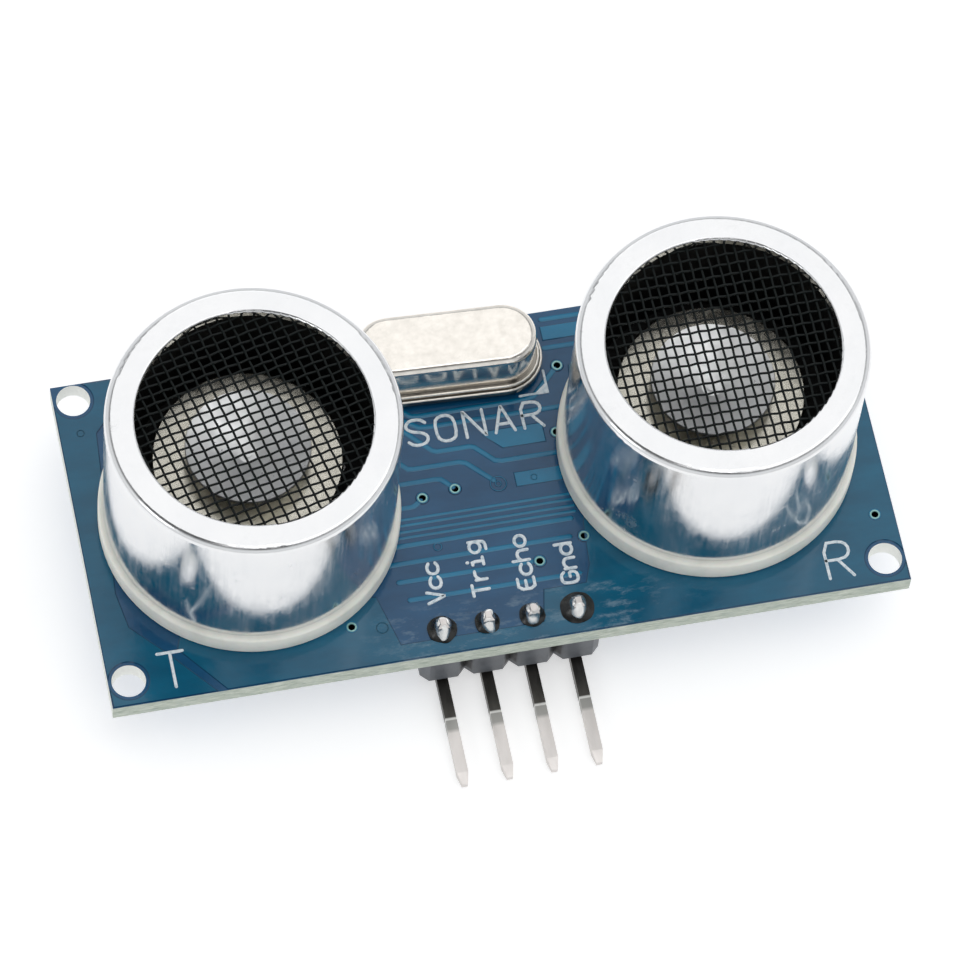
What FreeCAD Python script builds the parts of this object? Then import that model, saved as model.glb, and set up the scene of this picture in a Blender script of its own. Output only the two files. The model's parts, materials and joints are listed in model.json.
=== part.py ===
import FreeCAD, Part
import math
import os

# Ultrasonic distance sensor: a small circuit board with two 16 mm ultrasonic transducers, a quartz
# crystal and a bent four-pin header. Lengths are millimetres.
#
# Row frame: origin at the centre of the four mounting holes, on the board's back face. +X runs along
# the board from the transmitter to the receiver, +Y towards the crystal's edge, and +Z out of the
# board's front, the way the transducers point.

# --- board ---------------------------------------------------------------------------------------
BOARD_LENGTH = 45.0
BOARD_WIDTH = 20.0
BOARD_THICKNESS = 1.2
BOARD_Y_SHIFT = -0.25            # the outline sits this far off the mounting holes' centre
MOUNT_SPACING_X = 42.7
MOUNT_SPACING_Y = 17.5
MOUNT_HOLE_R = 0.95
VIA_HOLE_R = 0.2
VIAS = [(5.8, 6.25), (4.9, 2.15), (-1.4, -0.35), (-3.3, -0.6),
        (5.1, -4.45), (2.35, -5.55), (-8.7, -7.7), (21.4, -6.0)]

FRONT = BOARD_THICKNESS          # height of the board's front face; the back face is at zero

# --- transducers ---------------------------------------------------------------------------------
TRANSDUCER_X = 13.0              # each transducer's axis, either side of the board's middle
BASE_FLANGE_R = 8.4
BASE_FLANGE_TOP = 2.8
BASE_PLUG_R = 7.65
BASE_PLUG_TOP = 4.2
CAN_R = 8.1
CAN_WALL = 0.4
CAN_TOP = 13.3
RIM_OPENING_R = 6.45
RIM_THICKNESS = 0.5
RIM_EDGE_FILLET = 0.45
RIM_INNER_FILLET = 0.12
BASE_FILLET = 0.25
LINER_R = 7.65
LINER_BORE_R = 6.95
LINER_FLOOR = 0.6
SCREEN_R = 7.6
SCREEN_THICKNESS = 0.3
SCREEN_PITCHES = (0.52, 0.63)    # wire spacing across and along the protective screen's cloth
SCREEN_WIRE = 0.14
TRANSMITTER_SCREEN_TURN = 104.0  # degrees from the board's length to the cloth's closer spacing
RECEIVER_SCREEN_TURN = 2.0

ELEMENT_SHIFT = -0.25            # the glued vibrating element sits slightly off the can's axis
TRANSMITTER_PIEZO_Z = 7.8        # the two elements are glued in at different heights
RECEIVER_PIEZO_Z = 7.0
PIEZO_R = 4.2
PIEZO_THICKNESS = 0.4
DISC_R = 5.25
DISC_THICKNESS = 0.3
DISC_EDGE_FILLET = 0.1
CONE_RIM_R = 3.45
CONE_HUB_R = 0.6
CONE_HUB_HEIGHT = 0.4
CONE_HEIGHT = 1.45
CONE_WALL = 0.12
CONE_BOSS_R = 0.28
CONE_BOSS_HEIGHT = 0.12
SILICONE_R = 2.6
SILICONE_BORE_R = 1.2
SILICONE_SKIRT = 0.35            # how far the silicone's foot spreads beyond its wall
SILICONE_SKIRT_HEIGHT = 0.6

TERMINAL_SPACING = 10.0
TERMINAL_R = 0.4
TERMINAL_HOLE_R = 0.45
TERMINAL_TOP = 5.6
TERMINAL_TAIL = -0.95
TERMINAL_EDGE_FILLET = 0.15
LEAD_WIRE_R = 0.12
LEAD_WIRE_BOW = 0.4              # how far each wire bows out sideways on its way up
LEAD_WIRE_RISE = 0.9             # length of its last stretch, up to the element
DISC_WIRE_REACH = 0.1            # how far inward of its terminal each wire lands
PIEZO_WIRE_REACH = 1.4
PAD_SOLDER = (1.1, 0.5, 0.8)     # radius on the pad, radius at the pin, height

# --- crystal -------------------------------------------------------------------------------------
CRYSTAL_X = -0.5
CRYSTAL_Y = 7.25
CRYSTAL_TURN = -2.5              # degrees; hand-fitted, so not quite square to the board
CRYSTAL_LIFT = 0.3
CRYSTAL_FLANGE = (11.1, 4.7)
CRYSTAL_STEP = (10.75, 4.35)
CRYSTAL_CAN = (10.2, 3.8)
CRYSTAL_PLATE = 0.35
CRYSTAL_STEP_THICKNESS = 0.25
CRYSTAL_HEIGHT = 3.5             # top of the can above the board
CRYSTAL_WALL = 0.2
CRYSTAL_EDGE_FILLET = 0.45
CRYSTAL_LEAD_PITCH = 4.88
CRYSTAL_LEAD_R = 0.215
CRYSTAL_LEAD_HOLE_R = 0.3
CRYSTAL_LEAD_TAIL = -0.85
CRYSTAL_LEAD_RISE = 0.75         # top of the leads above the base plate's underside
CRYSTAL_SEAL_R = 0.6
CRYSTAL_SEAL_BULGE = 0.04
CRYSTAL_CLIP_INWARD = 0.4        # how far each clip reaches either side of its lead
CRYSTAL_CLIP_OUTWARD = 1.3
CRYSTAL_CLIP_WIDTH = 1.2
CRYSTAL_CLIP_THICKNESS = 0.12
CRYSTAL_BLANK = (7.4, 1.8, 0.2)
CRYSTAL_SOLDER = (0.75, 0.3, 0.65)

# --- header --------------------------------------------------------------------------------------
PITCH = 2.54
PIN_COUNT = 4
PIN_WIDTH = 0.64
PIN_Y = -8.72
PIN_TOP = 2.3
PIN_RUN_Z = -3.4                 # axis of the pins' straight run, behind the board
PIN_TIP_Y = -16.2
PIN_BEND_R = 0.8
PIN_TAPER = 0.7
PIN_TIP_WIDTH = 0.34
PIN_HEAD = 0.25                  # height of the tapered soldered end
PIN_HOLE_R = 0.5
PIN_SOLDER = (0.85, 0.5, 0.85)
CELL_CHAMFER = 0.45

# --- parts on the back ---------------------------------------------------------------------------
CHIP_WIDTH = 3.9
CHIP_SPAN = 6.0
CHIP_THICKNESS = 1.45
CHIP_STANDOFF = 0.15
CHIP_LEAD_PITCH = 1.27
CHIP_LEAD_WIDTH = 0.41
CHIP_LEAD_THICKNESS = 0.2
CHIP_LEAD_FOOT = 0.62
CHIP_LEAD_SLOPE = 0.2            # how far a lead runs outward on its way down to the board
CHIP_END_MARGIN = 0.25
CHIP_DRAFT = 0.1
PIN_ONE_DIMPLE_R = 0.35
PIN_ONE_DIMPLE_DEPTH = 0.08
PIN_ONE_DIMPLE_INSET = 0.8
CONTROLLER_Y = -1.2
CONTROLLER_LEADS = 14
DRIVER_LEADS = 16
AMPLIFIER_LEADS = 14
PASSIVE_LENGTH = 1.6
PASSIVE_WIDTH = 0.8
PASSIVE_END = 0.3
PASSIVE_PLATING = 0.02
RESISTOR_HEIGHT = 0.45
CAPACITOR_HEIGHT = 0.8
PASSIVE_ROW_Y = 6.4
RESISTOR_COLUMNS = [7.4, 9.9, 12.4, 14.9, 17.4]
CAPACITOR_SPOTS = [(-6.3, -3.6), (-6.3, 3.6), (6.3, 3.6), (-9.9, 8.4), (-14.9, 8.4),
                   (9.9, 8.4), (14.9, 8.4), (-12.4, -8.5), (12.4, -8.5)]
TRANSISTOR_SPOT = (7.1, -3.9)
TRANSISTOR_BODY = (2.9, 1.3, 0.95)
TRANSISTOR_SPAN = 2.9
TRANSISTOR_LEAD_SPREAD = 0.95

SOLDER_FOOT = 0.08               # thickness of a solder joint at the edge of its pad
OVERSHOOT = 1.0                  # how far a cutting shape reaches past what it cuts
SAME = 1e-4                      # lengths closer than this count as equal

X_AXIS = FreeCAD.Vector(1, 0, 0)
Z_AXIS = FreeCAD.Vector(0, 0, 1)
ORIGIN = FreeCAD.Vector(0, 0, 0)


# --- shared shapes -------------------------------------------------------------------------------
def block(x_range, y_range, z_range):
    """A box between two limits on each axis."""
    corner = FreeCAD.Vector(x_range[0], y_range[0], z_range[0])
    return Part.makeBox(x_range[1] - x_range[0], y_range[1] - y_range[0], z_range[1] - z_range[0], corner)


def rod(radius, bottom, top, x=0.0, y=0.0):
    """A round bar standing along Z."""
    return Part.makeCylinder(radius, top - bottom, FreeCAD.Vector(x, y, bottom))


def turned(profile):
    """A body of revolution about Z from a closed outline of (radius, height) points."""
    points = [FreeCAD.Vector(r, 0, z) for r, z in profile]
    outline = Part.makePolygon(points + points[:1])
    return Part.Face(outline).revolve(ORIGIN, Z_AXIS, 360)


def rounded_rings(shape, radius, rings):
    """Fillet the circular edges that lie at the given (radius, height) places."""
    edges = []
    for edge in shape.Edges:
        if not isinstance(edge.Curve, Part.Circle):
            continue
        for ring_r, ring_z in rings:
            if abs(edge.Curve.Radius - ring_r) < SAME and abs(edge.Curve.Center.z - ring_z) < SAME:
                edges.append(edge)
    return shape.makeFillet(radius, edges)


def stadium(size, bottom, top):
    """A flat-sided oval prism: size is its length along X and its width along Y."""
    length, width = size
    r = width / 2
    straight = length / 2 - r
    right = Part.Arc(FreeCAD.Vector(straight, -r, bottom), FreeCAD.Vector(straight + r, 0, bottom),
                     FreeCAD.Vector(straight, r, bottom))
    left = Part.Arc(FreeCAD.Vector(-straight, r, bottom), FreeCAD.Vector(-straight - r, 0, bottom),
                    FreeCAD.Vector(-straight, -r, bottom))
    upper = Part.LineSegment(right.toShape().Vertexes[-1].Point, left.toShape().Vertexes[0].Point)
    lower = Part.LineSegment(left.toShape().Vertexes[-1].Point, right.toShape().Vertexes[0].Point)
    outline = Part.Wire([part.toShape() for part in (right, upper, left, lower)])
    return Part.Face(outline).extrude(FreeCAD.Vector(0, 0, top - bottom))


def rectangle(x_half, y_half, z, x=0.0, y=0.0):
    """A closed rectangular wire in a level plane."""
    corners = [(x - x_half, y - y_half), (x + x_half, y - y_half),
               (x + x_half, y + y_half), (x - x_half, y + y_half)]
    points = [FreeCAD.Vector(px, py, z) for px, py in corners]
    return Part.makePolygon(points + points[:1])


def frustum(lower, upper, lower_z, upper_z):
    """A tapered block between two rectangles, each given as (x_half, y_half)."""
    wires = [rectangle(lower[0], lower[1], lower_z), rectangle(upper[0], upper[1], upper_z)]
    return Part.makeLoft(wires, True)


def bent_wire(points, radius):
    """A thin round wire through the given points, with ball corners."""
    pieces = []
    for start, end in zip(points, points[1:]):
        run = end.sub(start)
        pieces.append(Part.makeCylinder(radius, run.Length, start, run))
    pieces += [Part.makeSphere(radius, corner) for corner in points[1:-1]]
    return pieces[0].fuse(pieces[1:]).removeSplitter()


def solder_fillet(size, bore_r):
    """A solder joint standing on z = 0: wide on its pad, hollow-sided, narrow where it wets the pin."""
    pad_r, neck_r, height = size
    foot = FreeCAD.Vector(pad_r, 0, SOLDER_FOOT)
    neck = FreeCAD.Vector(neck_r, 0, height)
    waist = FreeCAD.Vector(neck_r + 0.3 * (pad_r - neck_r), 0, 0.36 * height)
    edges = [Part.LineSegment(FreeCAD.Vector(bore_r, 0, 0), FreeCAD.Vector(pad_r, 0, 0)).toShape(),
             Part.LineSegment(FreeCAD.Vector(pad_r, 0, 0), foot).toShape(),
             Part.Arc(foot, waist, neck).toShape(),
             Part.LineSegment(neck, FreeCAD.Vector(bore_r, 0, height)).toShape(),
             Part.LineSegment(FreeCAD.Vector(bore_r, 0, height), FreeCAD.Vector(bore_r, 0, 0)).toShape()]
    return Part.Face(Part.Wire(edges)).revolve(ORIGIN, Z_AXIS, 360)


def flipped(shape):
    """The same shape turned over about X, for what stands on the board's back."""
    turned_over = shape.copy()
    turned_over.rotate(ORIGIN, X_AXIS, 180)
    return turned_over


def placed(shape, x, y, turn=0.0):
    """The same shape, turned about Z by some degrees and moved to a spot on the board."""
    moved = shape.copy()
    moved.rotate(ORIGIN, Z_AXIS, turn)
    moved.translate(FreeCAD.Vector(x, y, 0))
    return moved


def save(node, *solids):
    """Write one node's STEP file, with each of its solids kept separate."""
    for solid in solids:
        if not solid.isValid() or solid.Volume <= 0 or len(solid.Solids) != 1:
            raise ValueError("bad solid in " + node)
    shape = solids[0].Solids[0] if len(solids) == 1 else Part.makeCompound([s.Solids[0] for s in solids])
    shape.exportStep("parts/" + node + ".step")
    box = shape.BoundBox
    print(f"{node:26s} {len(solids):3d} solids  x {box.XMin:7.2f} {box.XMax:7.2f}"
          f"  y {box.YMin:7.2f} {box.YMax:7.2f}  z {box.ZMin:6.2f} {box.ZMax:6.2f}")


# --- places on the board -------------------------------------------------------------------------
def pin_columns():
    """X of each header pin."""
    return [(i - (PIN_COUNT - 1) / 2) * PITCH for i in range(PIN_COUNT)]


def crystal_lead_spots():
    """Where the crystal's two leads pass through the board."""
    turn = math.radians(CRYSTAL_TURN)
    reach = CRYSTAL_LEAD_PITCH / 2
    return [(CRYSTAL_X + side * reach * math.cos(turn), CRYSTAL_Y + side * reach * math.sin(turn))
            for side in (-1, 1)]


def circuit_board():
    """The glass-fibre board with every drilled hole."""
    board = block((-BOARD_LENGTH / 2, BOARD_LENGTH / 2),
                  (BOARD_Y_SHIFT - BOARD_WIDTH / 2, BOARD_Y_SHIFT + BOARD_WIDTH / 2), (0, BOARD_THICKNESS))
    drills = []
    for side_x in (-1, 1):
        for side_y in (-1, 1):
            drills.append((MOUNT_HOLE_R, side_x * MOUNT_SPACING_X / 2, side_y * MOUNT_SPACING_Y / 2))
        for side in (-1, 1):
            drills.append((TERMINAL_HOLE_R, side_x * TRANSDUCER_X + side * TERMINAL_SPACING / 2, 0.0))
    drills += [(PIN_HOLE_R, x, PIN_Y) for x in pin_columns()]
    drills += [(CRYSTAL_LEAD_HOLE_R, x, y) for x, y in crystal_lead_spots()]
    drills += [(VIA_HOLE_R, x, y) for x, y in VIAS]
    return board.cut([rod(r, -OVERSHOOT, BOARD_THICKNESS + OVERSHOOT, x, y) for r, x, y in drills])


# --- transducer pieces, each built about its own axis --------------------------------------------
def transducer_base():
    """Moulded resin foot: a flange on the board and a plug that the can is pressed over."""
    base = turned([(0, FRONT), (BASE_FLANGE_R, FRONT), (BASE_FLANGE_R, BASE_FLANGE_TOP),
                   (BASE_PLUG_R, BASE_FLANGE_TOP), (BASE_PLUG_R, BASE_PLUG_TOP), (0, BASE_PLUG_TOP)])
    base = rounded_rings(base, BASE_FILLET, [(BASE_FLANGE_R, FRONT), (BASE_FLANGE_R, BASE_FLANGE_TOP)])
    return base.cut([rod(TERMINAL_R, FRONT - OVERSHOOT, BASE_PLUG_TOP + OVERSHOOT, x)
                     for x in terminal_columns()])


def transducer_can():
    """Drawn aluminium can with its front edge turned in over the screen."""
    bore = CAN_R - CAN_WALL
    rim_bottom = CAN_TOP - RIM_THICKNESS
    can = turned([(bore, BASE_FLANGE_TOP), (CAN_R, BASE_FLANGE_TOP), (CAN_R, CAN_TOP),
                  (RIM_OPENING_R, CAN_TOP), (RIM_OPENING_R, rim_bottom), (bore, rim_bottom)])
    can = rounded_rings(can, RIM_EDGE_FILLET, [(CAN_R, CAN_TOP)])
    return rounded_rings(can, RIM_INNER_FILLET, [(RIM_OPENING_R, CAN_TOP)])


def transducer_liner():
    """Black cup inside the can, which holds the screen up against the rim."""
    top = CAN_TOP - RIM_THICKNESS - SCREEN_THICKNESS
    floor_top = BASE_PLUG_TOP + LINER_FLOOR
    liner = turned([(0, BASE_PLUG_TOP), (LINER_R, BASE_PLUG_TOP), (LINER_R, top), (LINER_BORE_R, top),
                    (LINER_BORE_R, floor_top), (0, floor_top)])
    return liner.cut([rod(TERMINAL_R, BASE_PLUG_TOP - OVERSHOOT, floor_top + OVERSHOOT, x)
                      for x in terminal_columns()])


def transducer_screen(turn):
    """Protective screen: a thin disc with a grid of openings between the wires."""
    top = CAN_TOP - RIM_THICKNESS
    bottom = top - SCREEN_THICKNESS
    pitch_x, pitch_y = SCREEN_PITCHES
    half_x = (pitch_x - SCREEN_WIRE) / 2
    half_y = (pitch_y - SCREEN_WIRE) / 2
    reach = int(SCREEN_R / pitch_x) + 1
    outline = Part.Wire(Part.makeCircle(SCREEN_R, FreeCAD.Vector(0, 0, bottom)))
    openings = []
    for i in range(-reach, reach + 1):
        for j in range(-reach, reach + 1):
            x = i * pitch_x
            y = j * pitch_y
            if math.hypot(abs(x) + half_x, abs(y) + half_y) < LINER_BORE_R:
                openings.append(rectangle(half_x, half_y, bottom, x, y))
    plate = Part.makeFace([outline] + openings, "Part::FaceMakerBullseye")
    return placed(plate.extrude(FreeCAD.Vector(0, 0, SCREEN_THICKNESS)), 0, 0, turn)


def element_levels(piezo_z):
    """Heights of a vibrating element whose piezoceramic starts at piezo_z: its top, disc top, cone rim."""
    piezo_top = piezo_z + PIEZO_THICKNESS
    disc_top = piezo_top + DISC_THICKNESS
    return piezo_top, disc_top, disc_top + CONE_HEIGHT


def transducer_piezo(piezo_z):
    """Piezoceramic disc, bonded under the metal disc."""
    piezo_top = element_levels(piezo_z)[0]
    return placed(rod(PIEZO_R, piezo_z, piezo_top), ELEMENT_SHIFT, 0)


def transducer_disc(piezo_z):
    """Metal disc that bends with the piezoceramic."""
    piezo_top, disc_top, _ = element_levels(piezo_z)
    disc = rounded_rings(rod(DISC_R, piezo_top, disc_top), DISC_EDGE_FILLET, [(DISC_R, disc_top)])
    return placed(disc, ELEMENT_SHIFT, 0)


def transducer_cone(piezo_z):
    """Thin conical resonator on a hub glued to the middle of the disc, with a small boss in its centre."""
    _, disc_top, rim_z = element_levels(piezo_z)
    hub_z = disc_top + CONE_HUB_HEIGHT
    slope = math.atan2(rim_z - hub_z, CONE_RIM_R - CONE_HUB_R)
    wall_x = CONE_WALL * math.sin(slope)
    wall_z = CONE_WALL * math.cos(slope)
    floor_z = hub_z + CONE_WALL
    boss_z = floor_z + CONE_BOSS_HEIGHT
    cone = turned([(0, disc_top), (CONE_HUB_R, disc_top), (CONE_HUB_R, hub_z), (CONE_RIM_R, rim_z - wall_z),
                   (CONE_RIM_R - wall_x, rim_z), (CONE_HUB_R - wall_x, floor_z),
                   (CONE_BOSS_R, floor_z), (CONE_BOSS_R, boss_z), (0, boss_z)])
    return placed(cone, ELEMENT_SHIFT, 0)


def transducer_silicone(piezo_z):
    """Soft ring of silicone that carries the element on the liner's floor."""
    floor_top = BASE_PLUG_TOP + LINER_FLOOR
    ring = turned([(SILICONE_BORE_R, floor_top), (SILICONE_R + SILICONE_SKIRT, floor_top),
                   (SILICONE_R, floor_top + SILICONE_SKIRT_HEIGHT), (SILICONE_R, piezo_z),
                   (SILICONE_BORE_R, piezo_z)])
    return placed(ring, ELEMENT_SHIFT, 0)


def terminal_columns():
    """X of a transducer's two terminals, from its own axis."""
    return [-TERMINAL_SPACING / 2, TERMINAL_SPACING / 2]


def transducer_terminals():
    """Two round terminal pins, from inside the can to behind the board."""
    pins = []
    for x in terminal_columns():
        pin = rod(TERMINAL_R, TERMINAL_TAIL, TERMINAL_TOP, x)
        ends = [(TERMINAL_R, TERMINAL_TAIL), (TERMINAL_R, TERMINAL_TOP)]
        pins.append(rounded_rings(pin, TERMINAL_EDGE_FILLET, ends))
    return pins


def lead_wire(start_x, end_x, end_z):
    """One fine wire from the top of a terminal, bowed to one side, to the element above."""
    middle_x = start_x + (end_x - start_x) / 4
    return bent_wire([FreeCAD.Vector(start_x, 0, TERMINAL_TOP),
                      FreeCAD.Vector(middle_x, LEAD_WIRE_BOW, end_z - LEAD_WIRE_RISE),
                      FreeCAD.Vector(end_x, LEAD_WIRE_BOW / 2, end_z)], LEAD_WIRE_R)


def transducer_lead_wires(piezo_z):
    """Two fine wires: one from a terminal to the disc, one to the piezoceramic."""
    left, right = terminal_columns()
    piezo_top = element_levels(piezo_z)[0]
    to_disc = lead_wire(left, left + DISC_WIRE_REACH, piezo_top)
    to_piezo = lead_wire(right, right - PIEZO_WIRE_REACH, piezo_z)
    clear_of_disc = rod(DISC_R, piezo_top, CAN_TOP, ELEMENT_SHIFT)
    clear_of_piezo = rod(PIEZO_R, piezo_z, CAN_TOP, ELEMENT_SHIFT)
    pins = transducer_terminals()
    return [to_disc.cut([clear_of_disc, pins[0]]), to_piezo.cut([clear_of_piezo, pins[1]])]


def transducer_solder():
    """Solder joints round the two terminals, on the board's back."""
    joint = flipped(solder_fillet(PAD_SOLDER, TERMINAL_R))
    return [placed(joint, x, 0) for x in terminal_columns()]


def save_transducer(name, x, screen_turn, piezo_z):
    """Write every node of one transducer."""
    pieces = {
        "base": [transducer_base()],
        "can": [transducer_can()],
        "liner": [transducer_liner()],
        "screen": [transducer_screen(screen_turn)],
        "piezo_disc": [transducer_piezo(piezo_z)],
        "metal_disc": [transducer_disc(piezo_z)],
        "cone": [transducer_cone(piezo_z)],
        "silicone": [transducer_silicone(piezo_z)],
        "terminals": transducer_terminals(),
        "lead_wires": transducer_lead_wires(piezo_z),
        "solder": transducer_solder(),
    }
    for piece, solids in pieces.items():
        save(name + "_" + piece, *[placed(solid, x, 0) for solid in solids])


# --- crystal pieces, built level at the origin of the board's plane -------------------------------
def crystal_leads():
    """Two wire leads through the glass seals and the board."""
    top = FRONT + CRYSTAL_LIFT + CRYSTAL_LEAD_RISE
    return [rod(CRYSTAL_LEAD_R, CRYSTAL_LEAD_TAIL, top, side * CRYSTAL_LEAD_PITCH / 2) for side in (-1, 1)]


def crystal_base():
    """Flat steel base plate with a hole for each glass seal."""
    bottom = FRONT + CRYSTAL_LIFT
    plate = stadium(CRYSTAL_FLANGE, bottom, bottom + CRYSTAL_PLATE)
    holes = [rod(CRYSTAL_SEAL_R, bottom - OVERSHOOT, bottom + OVERSHOOT, side * CRYSTAL_LEAD_PITCH / 2)
             for side in (-1, 1)]
    return plate.cut(holes)


def crystal_seals():
    """Glass beads that hold the leads in the base."""
    bottom = FRONT + CRYSTAL_LIFT
    bulge_z = bottom - CRYSTAL_SEAL_BULGE
    seals = []
    for side in (-1, 1):
        bead = turned([(CRYSTAL_LEAD_R, bulge_z), (CRYSTAL_SEAL_R - 0.1, bulge_z),
                       (CRYSTAL_SEAL_R, bottom), (CRYSTAL_SEAL_R, bottom + CRYSTAL_PLATE),
                       (CRYSTAL_LEAD_R, bottom + CRYSTAL_PLATE)])
        seals.append(placed(bead, side * CRYSTAL_LEAD_PITCH / 2, 0))
    return seals


def crystal_can():
    """Drawn cover: a welded rim on the base and a hollow oval box with rounded top edges."""
    rim_bottom = FRONT + CRYSTAL_LIFT + CRYSTAL_PLATE
    rim_top = rim_bottom + CRYSTAL_STEP_THICKNESS
    top = FRONT + CRYSTAL_HEIGHT
    inside = (CRYSTAL_CAN[0] - 2 * CRYSTAL_WALL, CRYSTAL_CAN[1] - 2 * CRYSTAL_WALL)
    cover = stadium(CRYSTAL_CAN, rim_bottom, top)
    top_edges = [edge for edge in cover.Edges if abs(edge.BoundBox.ZMin - top) < SAME]
    cover = cover.makeFillet(CRYSTAL_EDGE_FILLET, top_edges)
    cover = cover.fuse(stadium(CRYSTAL_STEP, rim_bottom, rim_top)).removeSplitter()
    return cover.cut(stadium(inside, rim_bottom - OVERSHOOT, top - CRYSTAL_WALL))


def crystal_clips():
    """Spring clips on the leads that grip the ends of the quartz strip."""
    bottom = FRONT + CRYSTAL_LIFT + CRYSTAL_LEAD_RISE
    half = CRYSTAL_CLIP_WIDTH / 2
    clips = []
    for side in (-1, 1):
        inner = side * (CRYSTAL_LEAD_PITCH / 2 - CRYSTAL_CLIP_INWARD)
        outer = side * (CRYSTAL_LEAD_PITCH / 2 + CRYSTAL_CLIP_OUTWARD)
        span = (min(inner, outer), max(inner, outer))
        clips.append(block(span, (-half, half), (bottom, bottom + CRYSTAL_CLIP_THICKNESS)))
    return clips


def crystal_blank():
    """The quartz strip itself."""
    length, width, thickness = CRYSTAL_BLANK
    bottom = FRONT + CRYSTAL_LIFT + CRYSTAL_LEAD_RISE + CRYSTAL_CLIP_THICKNESS
    return block((-length / 2, length / 2), (-width / 2, width / 2), (bottom, bottom + thickness))


def crystal_solder():
    """Solder joints round the crystal's leads, on the board's back."""
    joint = flipped(solder_fillet(CRYSTAL_SOLDER, CRYSTAL_LEAD_R))
    return [placed(joint, side * CRYSTAL_LEAD_PITCH / 2, 0) for side in (-1, 1)]


def save_crystal():
    """Write every node of the crystal, in its place on the board."""
    pieces = {
        "base": [crystal_base()],
        "can": [crystal_can()],
        "seals": crystal_seals(),
        "leads": crystal_leads(),
        "clips": crystal_clips(),
        "blank": [crystal_blank()],
        "solder": crystal_solder(),
    }
    for piece, solids in pieces.items():
        save("crystal_" + piece, *[placed(solid, CRYSTAL_X, CRYSTAL_Y, CRYSTAL_TURN) for solid in solids])


# --- header --------------------------------------------------------------------------------------
def header_housing():
    """Plastic strip behind the board: one chamfered cell per pin, joined side to side."""
    half = PITCH / 2
    cut = half - CELL_CHAMFER
    outline = [(-half, -cut), (-cut, -half), (cut, -half), (half, -cut),
               (half, cut), (cut, half), (-cut, half), (-half, cut)]
    cells = []
    for x in pin_columns():
        points = [FreeCAD.Vector(x + px, PIN_Y + py, -PITCH) for px, py in outline]
        cells.append(Part.Face(Part.makePolygon(points + points[:1])).extrude(FreeCAD.Vector(0, 0, PITCH)))
    strip = cells[0].fuse(cells[1:]).removeSplitter()
    pin_half = PIN_WIDTH / 2
    slots = [block((x - pin_half, x + pin_half), (PIN_Y - pin_half, PIN_Y + pin_half),
                   (-PITCH - OVERSHOOT, OVERSHOOT))
             for x in pin_columns()]
    return strip.cut(slots)


def header_pin(x):
    """A square pin: soldered end in front, down through the board and housing, then out along -Y."""
    half = PIN_WIDTH / 2
    tip = PIN_TIP_WIDTH / 2
    bend_z = PIN_RUN_Z + PIN_BEND_R
    bend_y = PIN_Y - PIN_BEND_R
    head_z = PIN_TOP - PIN_HEAD
    section = rectangle(half, half, bend_z, x, PIN_Y)
    upright = Part.Face(section).extrude(FreeCAD.Vector(0, 0, head_z - bend_z))
    elbow = Part.Face(section).revolve(FreeCAD.Vector(x, bend_y, bend_z), X_AXIS, -90)
    run = block((x - half, x + half), (PIN_TIP_Y + PIN_TAPER, bend_y), (PIN_RUN_Z - half, PIN_RUN_Z + half))
    head = placed(frustum((half, half), (tip, tip), head_z, PIN_TOP), x, PIN_Y)
    taper = frustum((half, half), (tip, tip), 0, PIN_TAPER)
    taper.rotate(ORIGIN, X_AXIS, 90)
    taper.translate(FreeCAD.Vector(x, PIN_TIP_Y + PIN_TAPER, PIN_RUN_Z))
    return upright.fuse([elbow, run, head, taper]).removeSplitter()


def header_solder():
    """Solder joints round the pins, on the board's front."""
    half = PIN_WIDTH / 2
    joints = []
    for x in pin_columns():
        joint = solder_fillet(PIN_SOLDER, 0)
        joint.translate(FreeCAD.Vector(x, PIN_Y, FRONT))
        pin = block((x - half, x + half), (PIN_Y - half, PIN_Y + half), (FRONT - OVERSHOOT, PIN_TOP))
        joints.append(joint.cut(pin))
    return joints


# --- parts on the back ---------------------------------------------------------------------------
def gull_wing(body_half, span_half, mid_z, along):
    """One formed lead: out of the body's side, down to the board and out along it, towards +Y."""
    t = CHIP_LEAD_THICKNESS
    heel = span_half - CHIP_LEAD_FOOT
    shoulder = heel - CHIP_LEAD_SLOPE
    rounding = 0.75 * t
    side = [(body_half, mid_z - t / 2), (shoulder + rounding, mid_z - t / 2), (heel + rounding, -t),
            (span_half, -t), (span_half, 0), (heel, 0), (shoulder, mid_z + t / 2), (body_half, mid_z + t / 2)]
    points = [FreeCAD.Vector(along - CHIP_LEAD_WIDTH / 2, y, z) for y, z in side]
    face = Part.Face(Part.makePolygon(points + points[:1]))
    return face.extrude(FreeCAD.Vector(CHIP_LEAD_WIDTH, 0, 0))


def package_body(length, width, thickness, pin_one_mark):
    """A moulded package on the board's back, drafted both ways from its parting line."""
    upper = -CHIP_STANDOFF
    lower = upper - thickness
    middle = (upper + lower) / 2
    full = (length / 2, width / 2)
    small = (length / 2 - CHIP_DRAFT, width / 2 - CHIP_DRAFT)
    body = frustum(small, full, lower, middle).fuse(frustum(full, small, middle, upper)).removeSplitter()
    if pin_one_mark:
        body = body.cut(rod(PIN_ONE_DIMPLE_R, lower - OVERSHOOT, lower + PIN_ONE_DIMPLE_DEPTH,
                            PIN_ONE_DIMPLE_INSET - length / 2, PIN_ONE_DIMPLE_INSET - width / 2))
    return body


def small_outline_chip(lead_count):
    """Body and leads of a small-outline chip, its length along X."""
    per_side = lead_count // 2
    length = per_side * CHIP_LEAD_PITCH - CHIP_END_MARGIN
    body = package_body(length, CHIP_WIDTH, CHIP_THICKNESS, True)
    middle = -CHIP_STANDOFF - CHIP_THICKNESS / 2
    leads = []
    for i in range(per_side):
        lead = gull_wing(CHIP_WIDTH / 2, CHIP_SPAN / 2, middle, (i - (per_side - 1) / 2) * CHIP_LEAD_PITCH)
        leads += [lead, placed(lead, 0, 0, 180)]
    return body, leads


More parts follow.
